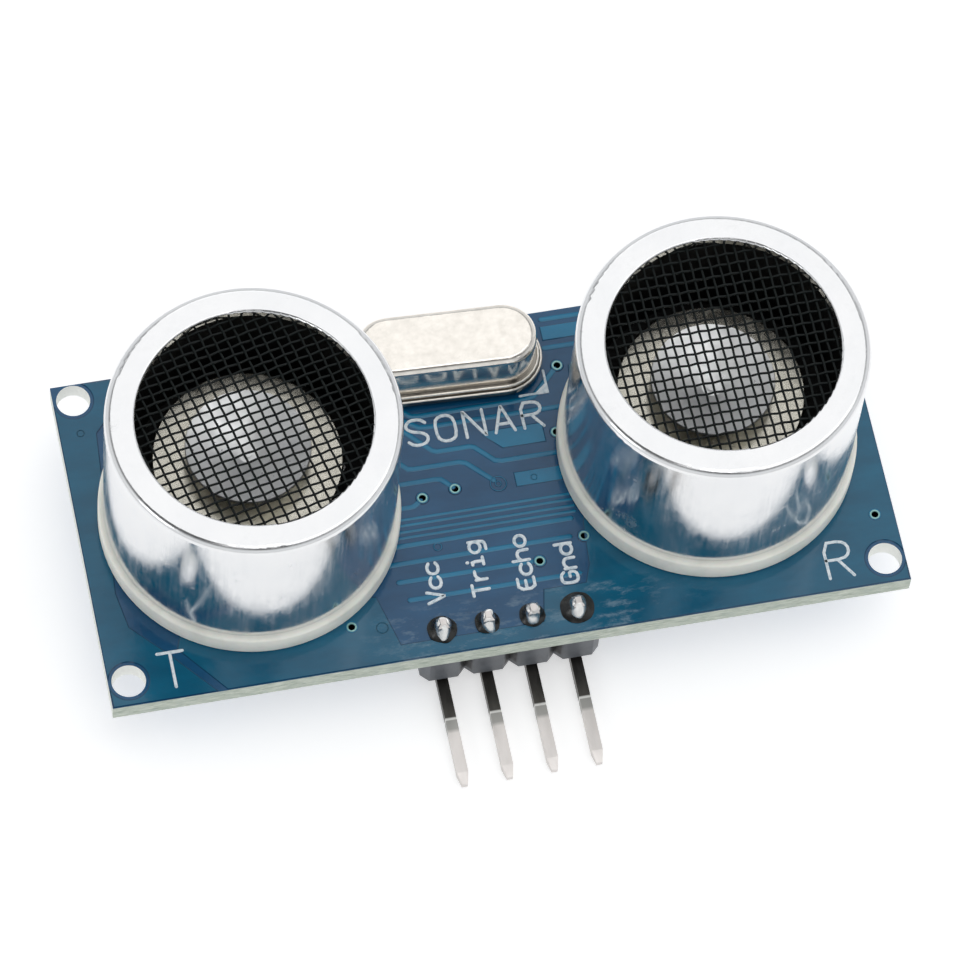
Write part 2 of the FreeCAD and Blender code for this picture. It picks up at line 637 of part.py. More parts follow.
def save_chip(name, lead_count, x, y, turn):
    """Write a chip's body and lead nodes."""
    body, leads = small_outline_chip(lead_count)
    save(name + "_body", placed(body, x, y, turn))
    save(name + "_leads", *[placed(lead, x, y, turn) for lead in leads])


def save_transistor():
    """Write the small three-lead switching transistor's two nodes."""
    x, y = TRANSISTOR_SPOT
    length, width, thickness = TRANSISTOR_BODY
    body = package_body(length, width, thickness, False)
    lead = gull_wing(width / 2, TRANSISTOR_SPAN / 2, -CHIP_STANDOFF - thickness / 2, 0)
    leads = [placed(lead, -TRANSISTOR_LEAD_SPREAD, 0), placed(lead, TRANSISTOR_LEAD_SPREAD, 0),
             placed(lead, 0, 0, 180)]
    save("transistor_body", placed(body, x, y, 90))
    save("transistor_leads", *[placed(solid, x, y, 90) for solid in leads])


def passive(height):
    """A chip resistor or capacitor: its ceramic body and two plated ends."""
    end_x = PASSIVE_LENGTH / 2
    body_x = end_x - PASSIVE_END
    half = PASSIVE_WIDTH / 2
    body = block((-body_x, body_x), (-half, half), (-height, -PASSIVE_PLATING))
    end_y = (-half - PASSIVE_PLATING, half + PASSIVE_PLATING)
    end_z = (-height - PASSIVE_PLATING, 0)
    return body, [block((-end_x, -body_x), end_y, end_z), block((body_x, end_x), end_y, end_z)]


def save_passives(name, height, spots, turn):
    """Write the bodies and the plated ends of one kind of chip part."""
    body, ends = passive(height)
    save(name + "_bodies", *[placed(body, x, y, turn) for x, y in spots])
    save(name + "_ends", *[placed(end, x, y, turn) for x, y in spots for end in ends])


# --- the whole sensor ----------------------------------------------------------------------------
def main():
    os.makedirs("parts", exist_ok=True)
    save("circuit_board", circuit_board())
    save("header_housing", header_housing())
    for number, x in enumerate(pin_columns(), start=1):
        save("header_pin_" + str(number), header_pin(x))
    save("header_solder", *header_solder())

    save_transducer("transmitter", -TRANSDUCER_X, TRANSMITTER_SCREEN_TURN, TRANSMITTER_PIEZO_Z)
    save_transducer("receiver", TRANSDUCER_X, RECEIVER_SCREEN_TURN, RECEIVER_PIEZO_Z)
    save_crystal()

    save_chip("controller", CONTROLLER_LEADS, 0.0, CONTROLLER_Y, 0)
    save_chip("driver", DRIVER_LEADS, -TRANSDUCER_X, 0.0, 90)
    save_chip("amplifier", AMPLIFIER_LEADS, TRANSDUCER_X, 0.0, 90)
    save_transistor()
    resistor_spots = [(side * x, row * PASSIVE_ROW_Y) for side in (-1, 1) for row in (-1, 1)
                      for x in RESISTOR_COLUMNS]
    save_passives("resistor", RESISTOR_HEIGHT, resistor_spots, 90)
    save_passives("capacitor", CAPACITOR_HEIGHT, CAPACITOR_SPOTS, 0)


main()
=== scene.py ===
import json
import math

import bmesh
import bpy
from mathutils import Matrix, Vector, noise


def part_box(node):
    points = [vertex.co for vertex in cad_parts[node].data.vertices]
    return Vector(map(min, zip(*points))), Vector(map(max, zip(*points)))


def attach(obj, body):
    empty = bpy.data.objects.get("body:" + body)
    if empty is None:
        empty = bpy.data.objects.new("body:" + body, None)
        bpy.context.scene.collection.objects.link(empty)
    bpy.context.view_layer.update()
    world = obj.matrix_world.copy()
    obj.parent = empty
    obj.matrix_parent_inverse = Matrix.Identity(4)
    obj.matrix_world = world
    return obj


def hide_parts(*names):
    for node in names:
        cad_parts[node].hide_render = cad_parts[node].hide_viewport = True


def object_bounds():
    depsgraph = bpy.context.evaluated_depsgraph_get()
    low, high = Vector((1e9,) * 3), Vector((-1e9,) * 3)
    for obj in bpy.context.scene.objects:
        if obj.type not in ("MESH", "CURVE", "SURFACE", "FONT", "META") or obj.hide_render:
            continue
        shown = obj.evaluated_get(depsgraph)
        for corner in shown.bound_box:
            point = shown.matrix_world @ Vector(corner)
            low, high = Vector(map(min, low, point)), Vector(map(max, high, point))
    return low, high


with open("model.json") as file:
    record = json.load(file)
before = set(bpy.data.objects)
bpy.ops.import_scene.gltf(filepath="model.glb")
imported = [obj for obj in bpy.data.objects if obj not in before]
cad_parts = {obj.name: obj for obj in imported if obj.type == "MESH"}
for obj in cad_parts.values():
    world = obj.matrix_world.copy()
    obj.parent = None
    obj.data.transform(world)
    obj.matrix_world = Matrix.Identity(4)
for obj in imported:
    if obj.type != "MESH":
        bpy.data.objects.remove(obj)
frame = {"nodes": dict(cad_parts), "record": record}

# Looks of an ultrasonic distance sensor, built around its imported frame. Shapes are worked out in
# millimetres in the row's frame (+X transmitter to receiver, +Y towards the crystal, +Z out of the
# board's front), and MM turns them into metres when a mesh is made.
MM = 0.001
NOISE_SEED = 5                      # noise_vector differs from run to run without one
noise.seed_set(NOISE_SEED)
cad_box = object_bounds()


def node_box(node):
    """Lowest and highest corner of a CAD node, in millimetres."""
    low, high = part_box(node)
    return low / MM, high / MM


def node_centre(node):
    """Middle of a CAD node's box, in millimetres."""
    low, high = node_box(node)
    return (low + high) / 2


BOARD_LOW, BOARD_HIGH = node_box("circuit_board")
FRONT = BOARD_HIGH.z
BACK = BOARD_LOW.z
TRANSDUCERS = {side: node_centre(side + "_can") for side in ("transmitter", "receiver")}
PIN_Y = node_centre("header_solder").y
PIN_COLUMNS = [node_centre("header_pin_%d" % number).x for number in (1, 2, 3, 4)]
PIN_PITCH = 2.54
PIN_TOP = node_box("header_pin_1")[1].z
TERMINAL_REACH = 5.0                # each terminal's distance from its transducer's axis
MOUNT_HOLE = (21.35, 8.75)           # the upper right one; the other three mirror it
MOUNT_HOLE_R = 0.95
POURED_VIAS = [(-8.7, -7.7), (21.4, -6.0)]          # these stand in the wide copper by the header
VIAS = [(5.8, 6.25), (4.9, 2.15), (-1.4, -0.35), (-3.3, -0.6), (5.1, -4.45), (2.35, -5.55)] + POURED_VIAS
VIA_HOLE_R = 0.2
POUR_MARGIN = 0.04                  # copper areas stop this far from the board's edges
POUR_CLEARANCE = 0.17               # and this far from a mounting hole
TRACK_HEIGHT = 0.03
TRACK_SLOPE = 0.06                  # how far a track's side leans in over its height
FLAT_CREASE = 15                    # degrees; keeps the tops of wide low areas flat
INK_HEIGHT = 0.025                  # above the tracks, so that no label is buried
INK_STROKE = 0.19
INK_SLOPE = 0.015
WELD = 1e-4                         # closes a turned shape where its profile meets the axis

CRYSTAL_TURN = -2.5                 # degrees; the crystal stands a little askew
BROWNED_HEIGHT = 0.26               # how far up the crystal's can its weld is browned
BEAD_R = 0.08
PIN_BANDS = (12.12, 12.28, 12.85)   # where a pin's painted reflection bands end, along -Y: its dark band, bright line and grey band
CELL_GAP = 0.28                     # half the width of the painted shade in the hollow between two cells of the header's plastic
CELL_GAP_ENDS = 3.6                 # no painted shade further out than this
CELL_GAP_DEPTH = 2.1                # how far the painted shade of the hollows reaches below the board
SCREEN_PITCHES = (0.52, 0.63)
SCREEN_TURNS = {"transmitter": 102.8, "receiver": 1.3}          # degrees
SCREEN_WIRE_R = 0.067
SCREEN_WEAVE = 0.06                 # how far a wire rises and falls as it weaves


# --- materials -----------------------------------------------------------------------------------
class Finish:
    """A node material on one Principled shader, with short ways to add procedural detail."""

    def __init__(self, name, **sockets):
        self.material = bpy.data.materials.new(name)
        self.material.use_nodes = True
        self.tree = self.material.node_tree
        self.shader = self.tree.nodes["Principled BSDF"]
        for socket, value in sockets.items():
            self.shader.inputs[socket.replace("_", " ")].default_value = value
        self.place = self.tree.nodes.new("ShaderNodeTexCoord").outputs["Object"]

    def add(self, kind, **inputs):
        """A new node of a kind, with its inputs fed."""
        node = self.tree.nodes.new(kind)
        for socket, value in inputs.items():
            self.feed(value, node.inputs[socket.replace("_", " ")])
        return node

    def feed(self, value, socket):
        """Link an output to a socket, or set a plain value on it."""
        if isinstance(value, bpy.types.NodeSocket):
            self.tree.links.new(value, socket)
        else:
            socket.default_value = value

    def noise(self, size, detail=3.0, stretch=(1, 1, 1), roughness=0.55):
        """Noise from 0 to 1 whose grains are about size millimetres, longer along a stretched axis."""
        scale = tuple(1 / (MM * size * s) for s in stretch)
        spread = self.add("ShaderNodeMapping", Vector=self.place, Scale=scale)
        cloud = self.add("ShaderNodeTexNoise", Vector=spread.outputs[0], Scale=1.0, Detail=detail,
                         Roughness=roughness)
        return cloud.outputs[0]

    def spots(self, size):
        """Distance to the nearest of many scattered points about size millimetres apart."""
        spread = self.add("ShaderNodeMapping", Vector=self.place, Scale=(1 / (MM * size),) * 3)
        return self.add("ShaderNodeTexVoronoi", Vector=spread.outputs[0], Scale=1.0).outputs[0]

    def remap(self, value, low, high, to_low=0.0, to_high=1.0):
        """Stretch a value's range to another one, held at both ends."""
        node = self.add("ShaderNodeMapRange", Value=value, From_Min=low, From_Max=high,
                        To_Min=to_low, To_Max=to_high)
        return node.outputs[0]

    def blend(self, factor, first, second):
        """Mix of two colours, each an output or a plain (r, g, b)."""
        node = self.tree.nodes.new("ShaderNodeMix")
        node.data_type = "RGBA"
        self.feed(factor, node.inputs[0])
        for socket, colour in ((node.inputs[6], first), (node.inputs[7], second)):
            self.feed(colour if isinstance(colour, bpy.types.NodeSocket) else (*colour, 1.0), socket)
        return node.outputs[2]

    def calc(self, operation, first, second=0.0):
        """A Math node's result."""
        node = self.tree.nodes.new("ShaderNodeMath")
        node.operation = operation
        self.feed(first, node.inputs[0])
        self.feed(second, node.inputs[1])
        return node.outputs[0]

    def axis(self, name):
        """One coordinate of the surface point, in millimetres."""
        split = self.add("ShaderNodeSeparateXYZ", Vector=self.place)
        return self.calc("MULTIPLY", split.outputs[name], 1 / MM)

    def facing(self, name):
        """One component of the surface normal, in the row's axes."""
        normal = self.tree.nodes.new("ShaderNodeNewGeometry").outputs["Normal"]
        return self.add("ShaderNodeSeparateXYZ", Vector=normal).outputs[name]

    def paint(self, socket, value):
        """Give one of the shader's inputs its value."""
        self.feed(value, self.shader.inputs[socket])

    def relief(self, height, depth):
        """Bump whose full swing is depth millimetres, stacked on any bump that is there already."""
        bump = self.add("ShaderNodeBump", Height=height, Distance=depth * MM, Strength=1.0)
        before = self.shader.inputs["Normal"].links
        if before:
            self.tree.links.new(before[0].from_socket, bump.inputs["Normal"])
        self.tree.links.new(bump.outputs[0], self.shader.inputs["Normal"])


LAMINATE_BLUE = ((0.004, 0.066, 0.160), (0.008, 0.090, 0.208))
COPPER_BLUE = ((0.001, 0.155, 0.300), (0.003, 0.200, 0.370))
POUR_BLUE = ((0.001, 0.092, 0.175), (0.002, 0.122, 0.222))
# Painted shade for the sloping sides of tracks and copper areas.
TRACK_SIDE_SHADE = (0.001, 0.030, 0.085)


def mask_colour(finish, pair):
    """Mottled blue of the solder mask, with pale flux residue round the header's joints."""
    mottle = finish.remap(finish.noise(1.7, 4.0, (2.2, 0.8, 1)), 0.35, 0.7)
    blue = finish.blend(mottle, *pair)
    near_joints = finish.remap(finish.axis("Y"), -6.9, -7.8)
    across = finish.calc("MULTIPLY", finish.remap(finish.axis("X"), -9.0, -5.5),
                         finish.remap(finish.axis("X"), 12.0, 6.0))
    smear = finish.remap(finish.noise(1.1, 6.0, (1.6, 0.6, 1), 0.7), 0.52, 0.70)
    residue = finish.calc("MULTIPLY", finish.calc("MULTIPLY", near_joints, across), smear)
    return finish.blend(finish.calc("MULTIPLY", residue, 0.5), blue, (0.26, 0.36, 0.43)), residue


def solder_mask(name, pair):
    """Glossy mask over copper: a fine orange peel, and painted shade down the sides of a track."""
    finish = Finish(name, Specular_IOR_Level=0.5)
    colour, residue = mask_colour(finish, pair)
    level = finish.remap(finish.calc("ABSOLUTE", finish.facing("Z")), 0.86, 0.99)
    # Faces that lean away from level get the dark blue: painted shade on the sides.
    finish.paint("Base Color", finish.blend(level, TRACK_SIDE_SHADE, colour))
    finish.paint("Roughness", finish.remap(residue, 0.0, 1.0, 0.11, 0.5))
    finish.relief(finish.noise(0.35, 2.0), 0.006)
    return finish


def board_finish():
    """The board itself: mask on both faces, and rough pale glass-fibre wherever it is cut, near-white in the
    mounting holes (partly its own pale colour, partly painted light) and painted lighter on cut faces turned
    to -X as painted light.
    """
    finish = Finish("board_mask_and_laminate", Specular_IOR_Level=0.5)
    colour, residue = mask_colour(finish, LAMINATE_BLUE)
    flat = finish.remap(finish.calc("ABSOLUTE", finish.facing("Z")), 0.5, 0.7)
    fibres = finish.noise(0.16, 5.0, (5, 5, 0.9), 0.7)
    cloth = finish.blend(finish.remap(fibres, 0.3, 0.7), (0.30, 0.36, 0.30), (0.66, 0.70, 0.62))
    charred = finish.remap(finish.noise(1.3, 5.0, (1.5, 1.5, 0.5)), 0.55, 0.75, 0.0, 0.45)
    edge = finish.blend(charred, cloth, (0.25, 0.33, 0.33))
    out_x, out_y = (finish.calc("ABSOLUTE", finish.axis(name)) for name in ("X", "Y"))
    off_ends = finish.remap(out_x, BOARD_HIGH.x - 0.06, BOARD_HIGH.x - 0.1)
    off_sides = finish.remap(out_y, BOARD_HIGH.y - 0.01, BOARD_HIGH.y - 0.05)
    in_hole = finish.calc("MULTIPLY", off_ends, off_sides)
    # Near-white in the mounting holes is partly the laminate's own pale colour and partly painted light; the
    # lighter cut faces turned to -X are painted light.
    pale_and_painted_light = finish.calc("MAXIMUM", in_hole, finish.remap(finish.facing("X"), -0.5, -0.7, 0.0, 0.6))
    cut_edge_with_painted_light = finish.blend(pale_and_painted_light, edge, (0.95, 0.96, 0.93))
    finish.paint("Base Color", finish.blend(flat, cut_edge_with_painted_light, colour))
    finish.paint("Roughness", finish.remap(finish.calc("ADD", flat, residue), 0.0, 1.0, 0.85, 0.12))
    warp, weft = (finish.noise(0.3, 1.0, stretch) for stretch in ((3.0, 0.7, 1), (0.7, 3.0, 1)))
    weave = finish.calc("MULTIPLY", warp, weft)
    finish.relief(weave, 0.008)
    finish.relief(finish.calc("MULTIPLY", fibres, finish.remap(flat, 0.0, 1.0, 1.0, 0.0)), 0.06)
    return finish


def ink():
    """Screen-printed ink: bluish white, a little thin and uneven."""
    finish = Finish("label_ink", Roughness=0.62)
    thin = finish.remap(finish.noise(0.22, 4.0), 0.3, 0.55)
    finish.paint("Base Color", finish.blend(thin, (0.50, 0.62, 0.70), (0.84, 0.91, 0.95)))
    finish.relief(finish.noise(0.08, 3.0), 0.01)
    return finish


def via_ring():
    """Thin pale green-blue mask and tin around a plated hole, with painted shade, near-black, down inside it.
    """
    finish = Finish("via_plating", Metallic=0.6, Roughness=0.3)
    rim = finish.blend(finish.noise(0.2, 3.0), (0.10, 0.34, 0.35), (0.42, 0.64, 0.60))
    middle, half = (FRONT + BACK) / 2, (FRONT - BACK) / 2
    from_middle = finish.calc("ABSOLUTE", finish.calc("ADD", finish.axis("Z"), -middle))
    clear_of_hole_shade = finish.remap(from_middle, half - 0.03, half)
    # Down inside the hole the plating is painted near-black: painted shade.
    finish.paint("Base Color", finish.blend(clear_of_hole_shade, (0.004, 0.006, 0.006), rim))
    finish.relief(finish.noise(0.1, 2.0), 0.01)
    return finish


def aluminium_can():
    """Satin drawn aluminium: faint drawing lines up the sides, rubbed patches, smudges and small dents."""
    finish = Finish("satin_aluminium", Metallic=1.0, Roughness=0.2)
    cloud = finish.noise(2.6, 5.0, (1, 1, 1.6))
    finish.paint("Base Color", finish.blend(cloud, (0.76, 0.77, 0.785), (0.85, 0.85, 0.855)))
    lines = finish.noise(0.16, 2.0, (1, 1, 30))
    rubbed = finish.noise(0.9, 6.0, (1, 1, 2.2), 0.7)
    smudged = finish.remap(finish.noise(1.7, 5.0, (1.2, 1.2, 1), 0.7), 0.58, 0.76, 0.0, 0.16)
    worn = finish.remap(rubbed, 0.35, 0.75, 0.10, 0.24)
    drawn = finish.remap(lines, 0.3, 0.7, -0.02, 0.05)
    finish.paint("Roughness", finish.calc("ADD", finish.calc("ADD", worn, drawn), smudged))
    finish.relief(lines, 0.0025)
    finish.relief(finish.noise(0.12, 2.0), 0.002)
    finish.relief(finish.remap(finish.spots(1.9), 0.0, 0.05), 0.006)
    return finish


def ivory_resin():
    """Moulded resin foot: warm ivory, faintly soiled, with a fine moulded grain."""
    finish = Finish("ivory_resin", Roughness=0.5, Subsurface_Weight=0.12, Subsurface_Scale=0.0006)
    soil = finish.remap(finish.noise(1.9, 5.0), 0.45, 0.75)
    finish.paint("Base Color", finish.blend(soil, (0.86, 0.86, 0.79), (0.72, 0.73, 0.67)))
    finish.relief(finish.noise(0.14, 3.0), 0.008)
    return finish


def dull_black(name, shade, grain, tint=(1, 1, 1), rough=0.6, specular=0.35):
    """Near-black or dark grey matt surface with a faint grain."""
    finish = Finish(name, Specular_IOR_Level=specular)
    darker, lighter = (tuple(shade * swing * part for part in tint) for swing in (0.6, 1.4))
    finish.paint("Base Color", finish.blend(finish.noise(grain * 6, 4.0), darker, lighter))
    finish.paint("Roughness", finish.remap(finish.noise(grain * 3, 3.0), 0.3, 0.7, rough * 0.85, rough * 1.2))
    finish.relief(finish.noise(grain, 3.0), 0.01)
    return finish


def header_nylon():
    """Moulded strip, worn grey; the hollows where its cells join are not cut, but painted near-black as
    painted shade.
    """
    finish = dull_black("header_nylon", 0.1, 0.12, (0.92, 1.0, 1.12), 0.4, 0.5)
    grey = finish.shader.inputs["Base Color"].links[0].from_socket
    from_joint = finish.calc("PINGPONG", finish.axis("X"), PIN_PITCH / 2)
    from_middle = finish.calc("ABSOLUTE", finish.axis("X"))
    clear_of_gap_shade = finish.calc("MAXIMUM", finish.remap(from_joint, CELL_GAP, CELL_GAP + 0.08),
                            finish.remap(from_middle, CELL_GAP_ENDS, CELL_GAP_ENDS + 0.1))
    lowest = BACK - CELL_GAP_DEPTH
    below_gap_shade = finish.remap(finish.axis("Z"), lowest, lowest - 0.15)
    unshaded_face = finish.calc("MAXIMUM", clear_of_gap_shade, below_gap_shade)
    # Near-black in the hollows between cells, down to their depth: painted shade.
    finish.paint("Base Color", finish.blend(unshaded_face, (0.006,) * 3, grey))
    return finish


def screen_wire():
    """Dark painted wire, with the paint worn thin here and there."""
    finish = Finish("painted_wire", Specular_IOR_Level=0.2)
    bare = finish.remap(finish.noise(0.6, 5.0, roughness=0.75), 0.66, 0.8)
    finish.paint("Base Color", finish.blend(bare, (0.005, 0.008, 0.008), (0.07, 0.085, 0.085)))
    finish.paint("Roughness", finish.remap(bare, 0.0, 1.0, 0.45, 0.25))
    finish.relief(finish.noise(0.05, 2.0), 0.006)
    return finish


def plain_metal(name, dark, light, rough, grain, stretch=(1, 1, 1), depth=0.004):
    """A plated or bare metal, mottled between two shades, with a fine grain."""
    finish = Finish(name, Metallic=1.0)
    mottle = finish.remap(finish.noise(grain * 5, 4.0), 0.3, 0.7)
    finish.paint("Base Color", finish.blend(mottle, dark, light))
    brushed = finish.noise(grain * 3, 4.0, stretch)
    finish.paint("Roughness", finish.remap(brushed, 0.3, 0.7, rough * 0.7, rough * 1.3))
    finish.relief(finish.noise(grain, 2.0, stretch), depth)
    return finish


def tinned_pin():
    """Header pin: painted reflection bands out from the plastic, a dark band, a bright line and a grey band,
    then bright tin to its tip.
    """
    finish = Finish("tinned_pin", Metallic=1.0)
    outward = finish.calc("MULTIPLY", finish.axis("Y"), -1.0)
    tin = finish.blend(finish.noise(0.5, 4.0, (1, 5, 1)), (0.58, 0.55, 0.53), (0.74, 0.71, 0.69))
    # Bands painted along each pin, out from the plastic: a dark band, a bright line and a grey band, all
    # painted reflection.
    dark_band_end, bright_line_end, grey_band_end = PIN_BANDS
    painted_grey_band = finish.blend(finish.remap(outward, grey_band_end, grey_band_end + 0.25), (0.36, 0.355, 0.34), tin)
    painted_dark_band = finish.blend(finish.noise(0.3, 4.0, (1, 5, 1)), (0.05, 0.047, 0.042), (0.12, 0.113, 0.105))
    # The bright line is a painted highlight.
    line = finish.blend(finish.remap(outward, bright_line_end, bright_line_end + 0.04), (0.74, 0.73, 0.71), painted_grey_band)
    painted_reflection_bands = finish.blend(finish.remap(outward, dark_band_end, dark_band_end + 0.08), painted_dark_band, line)
    above_board = finish.remap(finish.axis("Z"), FRONT - 0.2, FRONT)
    finish.paint("Base Color", finish.blend(above_board, painted_reflection_bands, tin))
    finish.paint("Roughness", finish.remap(finish.noise(0.3, 4.0, (1, 8, 1)), 0.3, 0.7, 0.3, 0.45))
    finish.relief(finish.noise(0.1, 2.0, (1, 8, 1)), 0.004)
    return finish


def crystal_metal():
    """Warm nickel plate, browned where the can's foot is welded to the base."""
    finish = plain_metal("crystal_nickel", (0.76, 0.725, 0.67), (0.90, 0.86, 0.80), 0.15, 0.11, (6, 1, 1))
    clean = finish.shader.inputs["Base Color"].links[0].from_socket
    foot = node_box("crystal_can")[0].z + BROWNED_HEIGHT
    above_foot = finish.remap(finish.axis("Z"), foot, foot + 0.1)
    finish.paint("Base Color", finish.blend(above_foot, (0.27, 0.255, 0.23), clean))
    return finish


def speckled(name, dark, light, rough, grain):
    """A dull ceramic, resin or rubber, speckled between two shades."""
    finish = Finish(name)
    finish.paint("Base Color", finish.blend(finish.remap(finish.noise(grain, 4.0), 0.35, 0.65), dark, light))
    finish.paint("Roughness", finish.remap(finish.noise(grain * 2, 3.0), 0.3, 0.7, rough * 0.8, rough * 1.2))
    finish.relief(finish.noise(grain * 0.7, 3.0), 0.006)
    return finish


def clear(name, tint, grain):
    """Fused glass or quartz with a ground surface."""
    finish = Finish(name, Transmission_Weight=0.75, IOR=1.5)
    finish.paint("Base Color", finish.blend(finish.noise(grain), tint, tuple(c * 0.8 for c in tint)))
    finish.paint("Roughness", finish.remap(finish.noise(grain * 2), 0.3, 0.7, 0.12, 0.35))
    finish.relief(finish.noise(grain * 0.5), 0.003)
    return finish


FINISHES = {
    "solder_mask": board_finish(),
    "mask_over_copper": solder_mask("mask_over_copper", COPPER_BLUE),
    "mask_over_pour": solder_mask("mask_over_pour", POUR_BLUE),
    "ink": ink(),
    "via": via_ring(),
    "black_nylon": header_nylon(),
    "solder": plain_metal("solder", (0.70, 0.70, 0.69), (0.86, 0.86, 0.84), 0.32, 0.2),
    # Near-black, used for the skirt round each header joint: partly burnt flux, partly a painted dark
    # reflection of the solder's flared foot.
    "burnt_flux": speckled("burnt_flux", (0.003, 0.004, 0.005), (0.014, 0.014, 0.013), 0.22, 0.2),
    "tinned_brass": tinned_pin(),
    "ivory_resin": ivory_resin(),
    "can_aluminium": aluminium_can(),
    "black_liner": dull_black("black_liner", 0.006, 0.2),
    "screen_wire": screen_wire(),
    "piezoceramic": speckled("piezoceramic", (0.50, 0.46, 0.36), (0.66, 0.62, 0.50), 0.5, 0.15),
    "disc_metal": plain_metal("disc_metal", (0.74, 0.715, 0.62), (0.84, 0.815, 0.72), 0.24, 0.2,
                              depth=0.0005),
    "cone_metal": plain_metal("cone_metal", (0.89, 0.90, 0.905), (0.96, 0.965, 0.965), 0.38, 0.22,
                              depth=0.0006),
    "silicone": speckled("silicone", (0.70, 0.70, 0.68), (0.82, 0.82, 0.80), 0.4, 0.4),
    "tinned_steel": plain_metal("tinned_steel", (0.58, 0.58, 0.58), (0.76, 0.76, 0.76), 0.28, 0.1),
    "crystal_nickel": crystal_metal(),
    "rolled_nickel": plain_metal("rolled_nickel", (0.70, 0.67, 0.62), (0.86, 0.83, 0.77), 0.2, 0.11,
                                 (6, 1, 1)),
    "seal_glass": clear("seal_glass", (0.35, 0.45, 0.40), 0.2),
    "quartz": clear("quartz", (0.85, 0.90, 0.92), 0.2),
    "chip_epoxy": dull_black("chip_epoxy", 0.028, 0.06),
    "resistor_black": dull_black("resistor_glaze", 0.02, 0.08),
    "capacitor_tan": speckled("capacitor_tan", (0.40, 0.28, 0.17), (0.52, 0.39, 0.25), 0.5, 0.1),
}


# --- mesh helpers --------------------------------------------------------------------------------
def finish_piece(name, mesh, finish, crease):
    """Put a mesh, built in millimetres, into the scene as a piece that rides on the sensor."""
    mesh.transform(Matrix.Scale(MM, 4))
    mesh.materials.clear()
    mesh.materials.append(FINISHES[finish].material)
    mesh.polygons.foreach_set("use_smooth", [True] * len(mesh.polygons))
    mesh.set_sharp_from_angle(angle=math.radians(crease))
    piece = bpy.data.objects.new(name, mesh)
    bpy.context.scene.collection.objects.link(piece)
    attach(piece, "root")
    return piece


def piece_from(name, shape, finish, crease=38):
    """Turn a finished bmesh into a piece, with edges sharper than crease degrees left sharp."""
    bmesh.ops.recalc_face_normals(shape, faces=shape.faces)
    mesh = bpy.data.meshes.new(name)
    shape.to_mesh(mesh)
    shape.free()
    return finish_piece(name, mesh, finish, crease)


def add_rings(shape, rings, closed=False):
    """Skin a row of equal point rings. Closed joins the last to the first; otherwise both are capped."""
    rows = [[shape.verts.new(point) for point in ring] for ring in rings]
    count = len(rows[0])
    pairs = list(zip(rows, rows[1:])) + ([(rows[-1], rows[0])] if closed else [])
    for first, second in pairs:
        for i in range(count):
            j = (i + 1) % count
            shape.faces.new((first[i], first[j], second[j], second[i]))
    if not closed:
        shape.faces.new(rows[0])
        shape.faces.new(rows[-1])


def turned(shape, profile, centre, steps=40, wobble=None):
    """Revolve (radius, height) points about an upright axis. A closed profile makes a ring-shaped body."""
    rings = []
    for step in range(steps):
        angle = 2 * math.pi * step / steps
        ring = []
        for radius, height in profile:
            point = Vector((radius * math.cos(angle), radius * math.sin(angle), height))
            if wobble:
                point = wobble(point)
            ring.append(point + Vector(centre))
        rings.append(ring)
    add_rings(shape, rings, closed=True)


def mitres(points, closed):
    """The left-hand direction at each point of a flat path, lengthened at its corners."""
    result = []
    for i, point in enumerate(points):
        runs = []
        if closed or i > 0:
            runs.append((point - points[i - 1]).normalized())
        if closed or i < len(points) - 1:
            runs.append((points[(i + 1) % len(points)] - point).normalized())
        mean = sum(runs, Vector((0, 0))).normalized()
        left = Vector((-mean.y, mean.x))
        side = Vector((-runs[0].y, runs[0].x))
        result.append(left / max(left.dot(side), 0.5))
    return result


def ribbon(shape, path, width, bottom, top, bevel=0.0, closed=False):
    """A low flat strip along a path on the board, with round ends and sloping sides."""
    points = [Vector(point) for point in path]
    lefts = mitres(points, closed)
    half = width / 2
    stations = [(point, left, half) for point, left in zip(points, lefts)]
    if not closed:
        caps = [math.radians(turn) for turn in (25, 50, 75)]
        start = (points[0] - points[1]).normalized()
        end = (points[-1] - points[-2]).normalized()
        head = [(points[0] + start * half * math.sin(t), lefts[0], half * math.cos(t)) for t in caps]
        tail = [(points[-1] + end * half * math.sin(t), lefts[-1], half * math.cos(t)) for t in caps]
        stations = head[::-1] + stations + tail
    rings = []
    for point, left, reach in stations:
        shoulder = max(reach - bevel, reach * 0.2)
        section = [(-reach, bottom), (-shoulder, top), (shoulder, top), (reach, bottom)]
        rings.append([(point.x + left.x * s, point.y + left.y * s, z) for s, z in section])
    add_rings(shape, rings, closed=closed)


def softened(points, closed=False, amount=0.25):
    """A path with each corner cut into two, so that it reads as round."""
    points = [Vector(point) for point in points]
    pairs = list(zip(points, points[1:]))
    if closed:
        pairs.append((points[-1], points[0]))
    cut = []
    for first, second in pairs:
        cut += [first.lerp(second, amount), first.lerp(second, 1 - amount)]
    return cut if closed else points[:1] + cut[1:-1] + points[-1:]


def circle(x, y, radius, steps=32):
    """Points round a circle on the board."""
    return [(x + radius * math.cos(2 * math.pi * i / steps), y + radius * math.sin(2 * math.pi * i / steps))
            for i in range(steps)]


def arc(x, y, radius, first, last, steps=18):
    """Points along part of a circle on the board, between two angles in degrees."""
    turns = [math.radians(first + (last - first) * i / steps) for i in range(steps + 1)]
    return [(x + radius * math.cos(turn), y + radius * math.sin(turn)) for turn in turns]


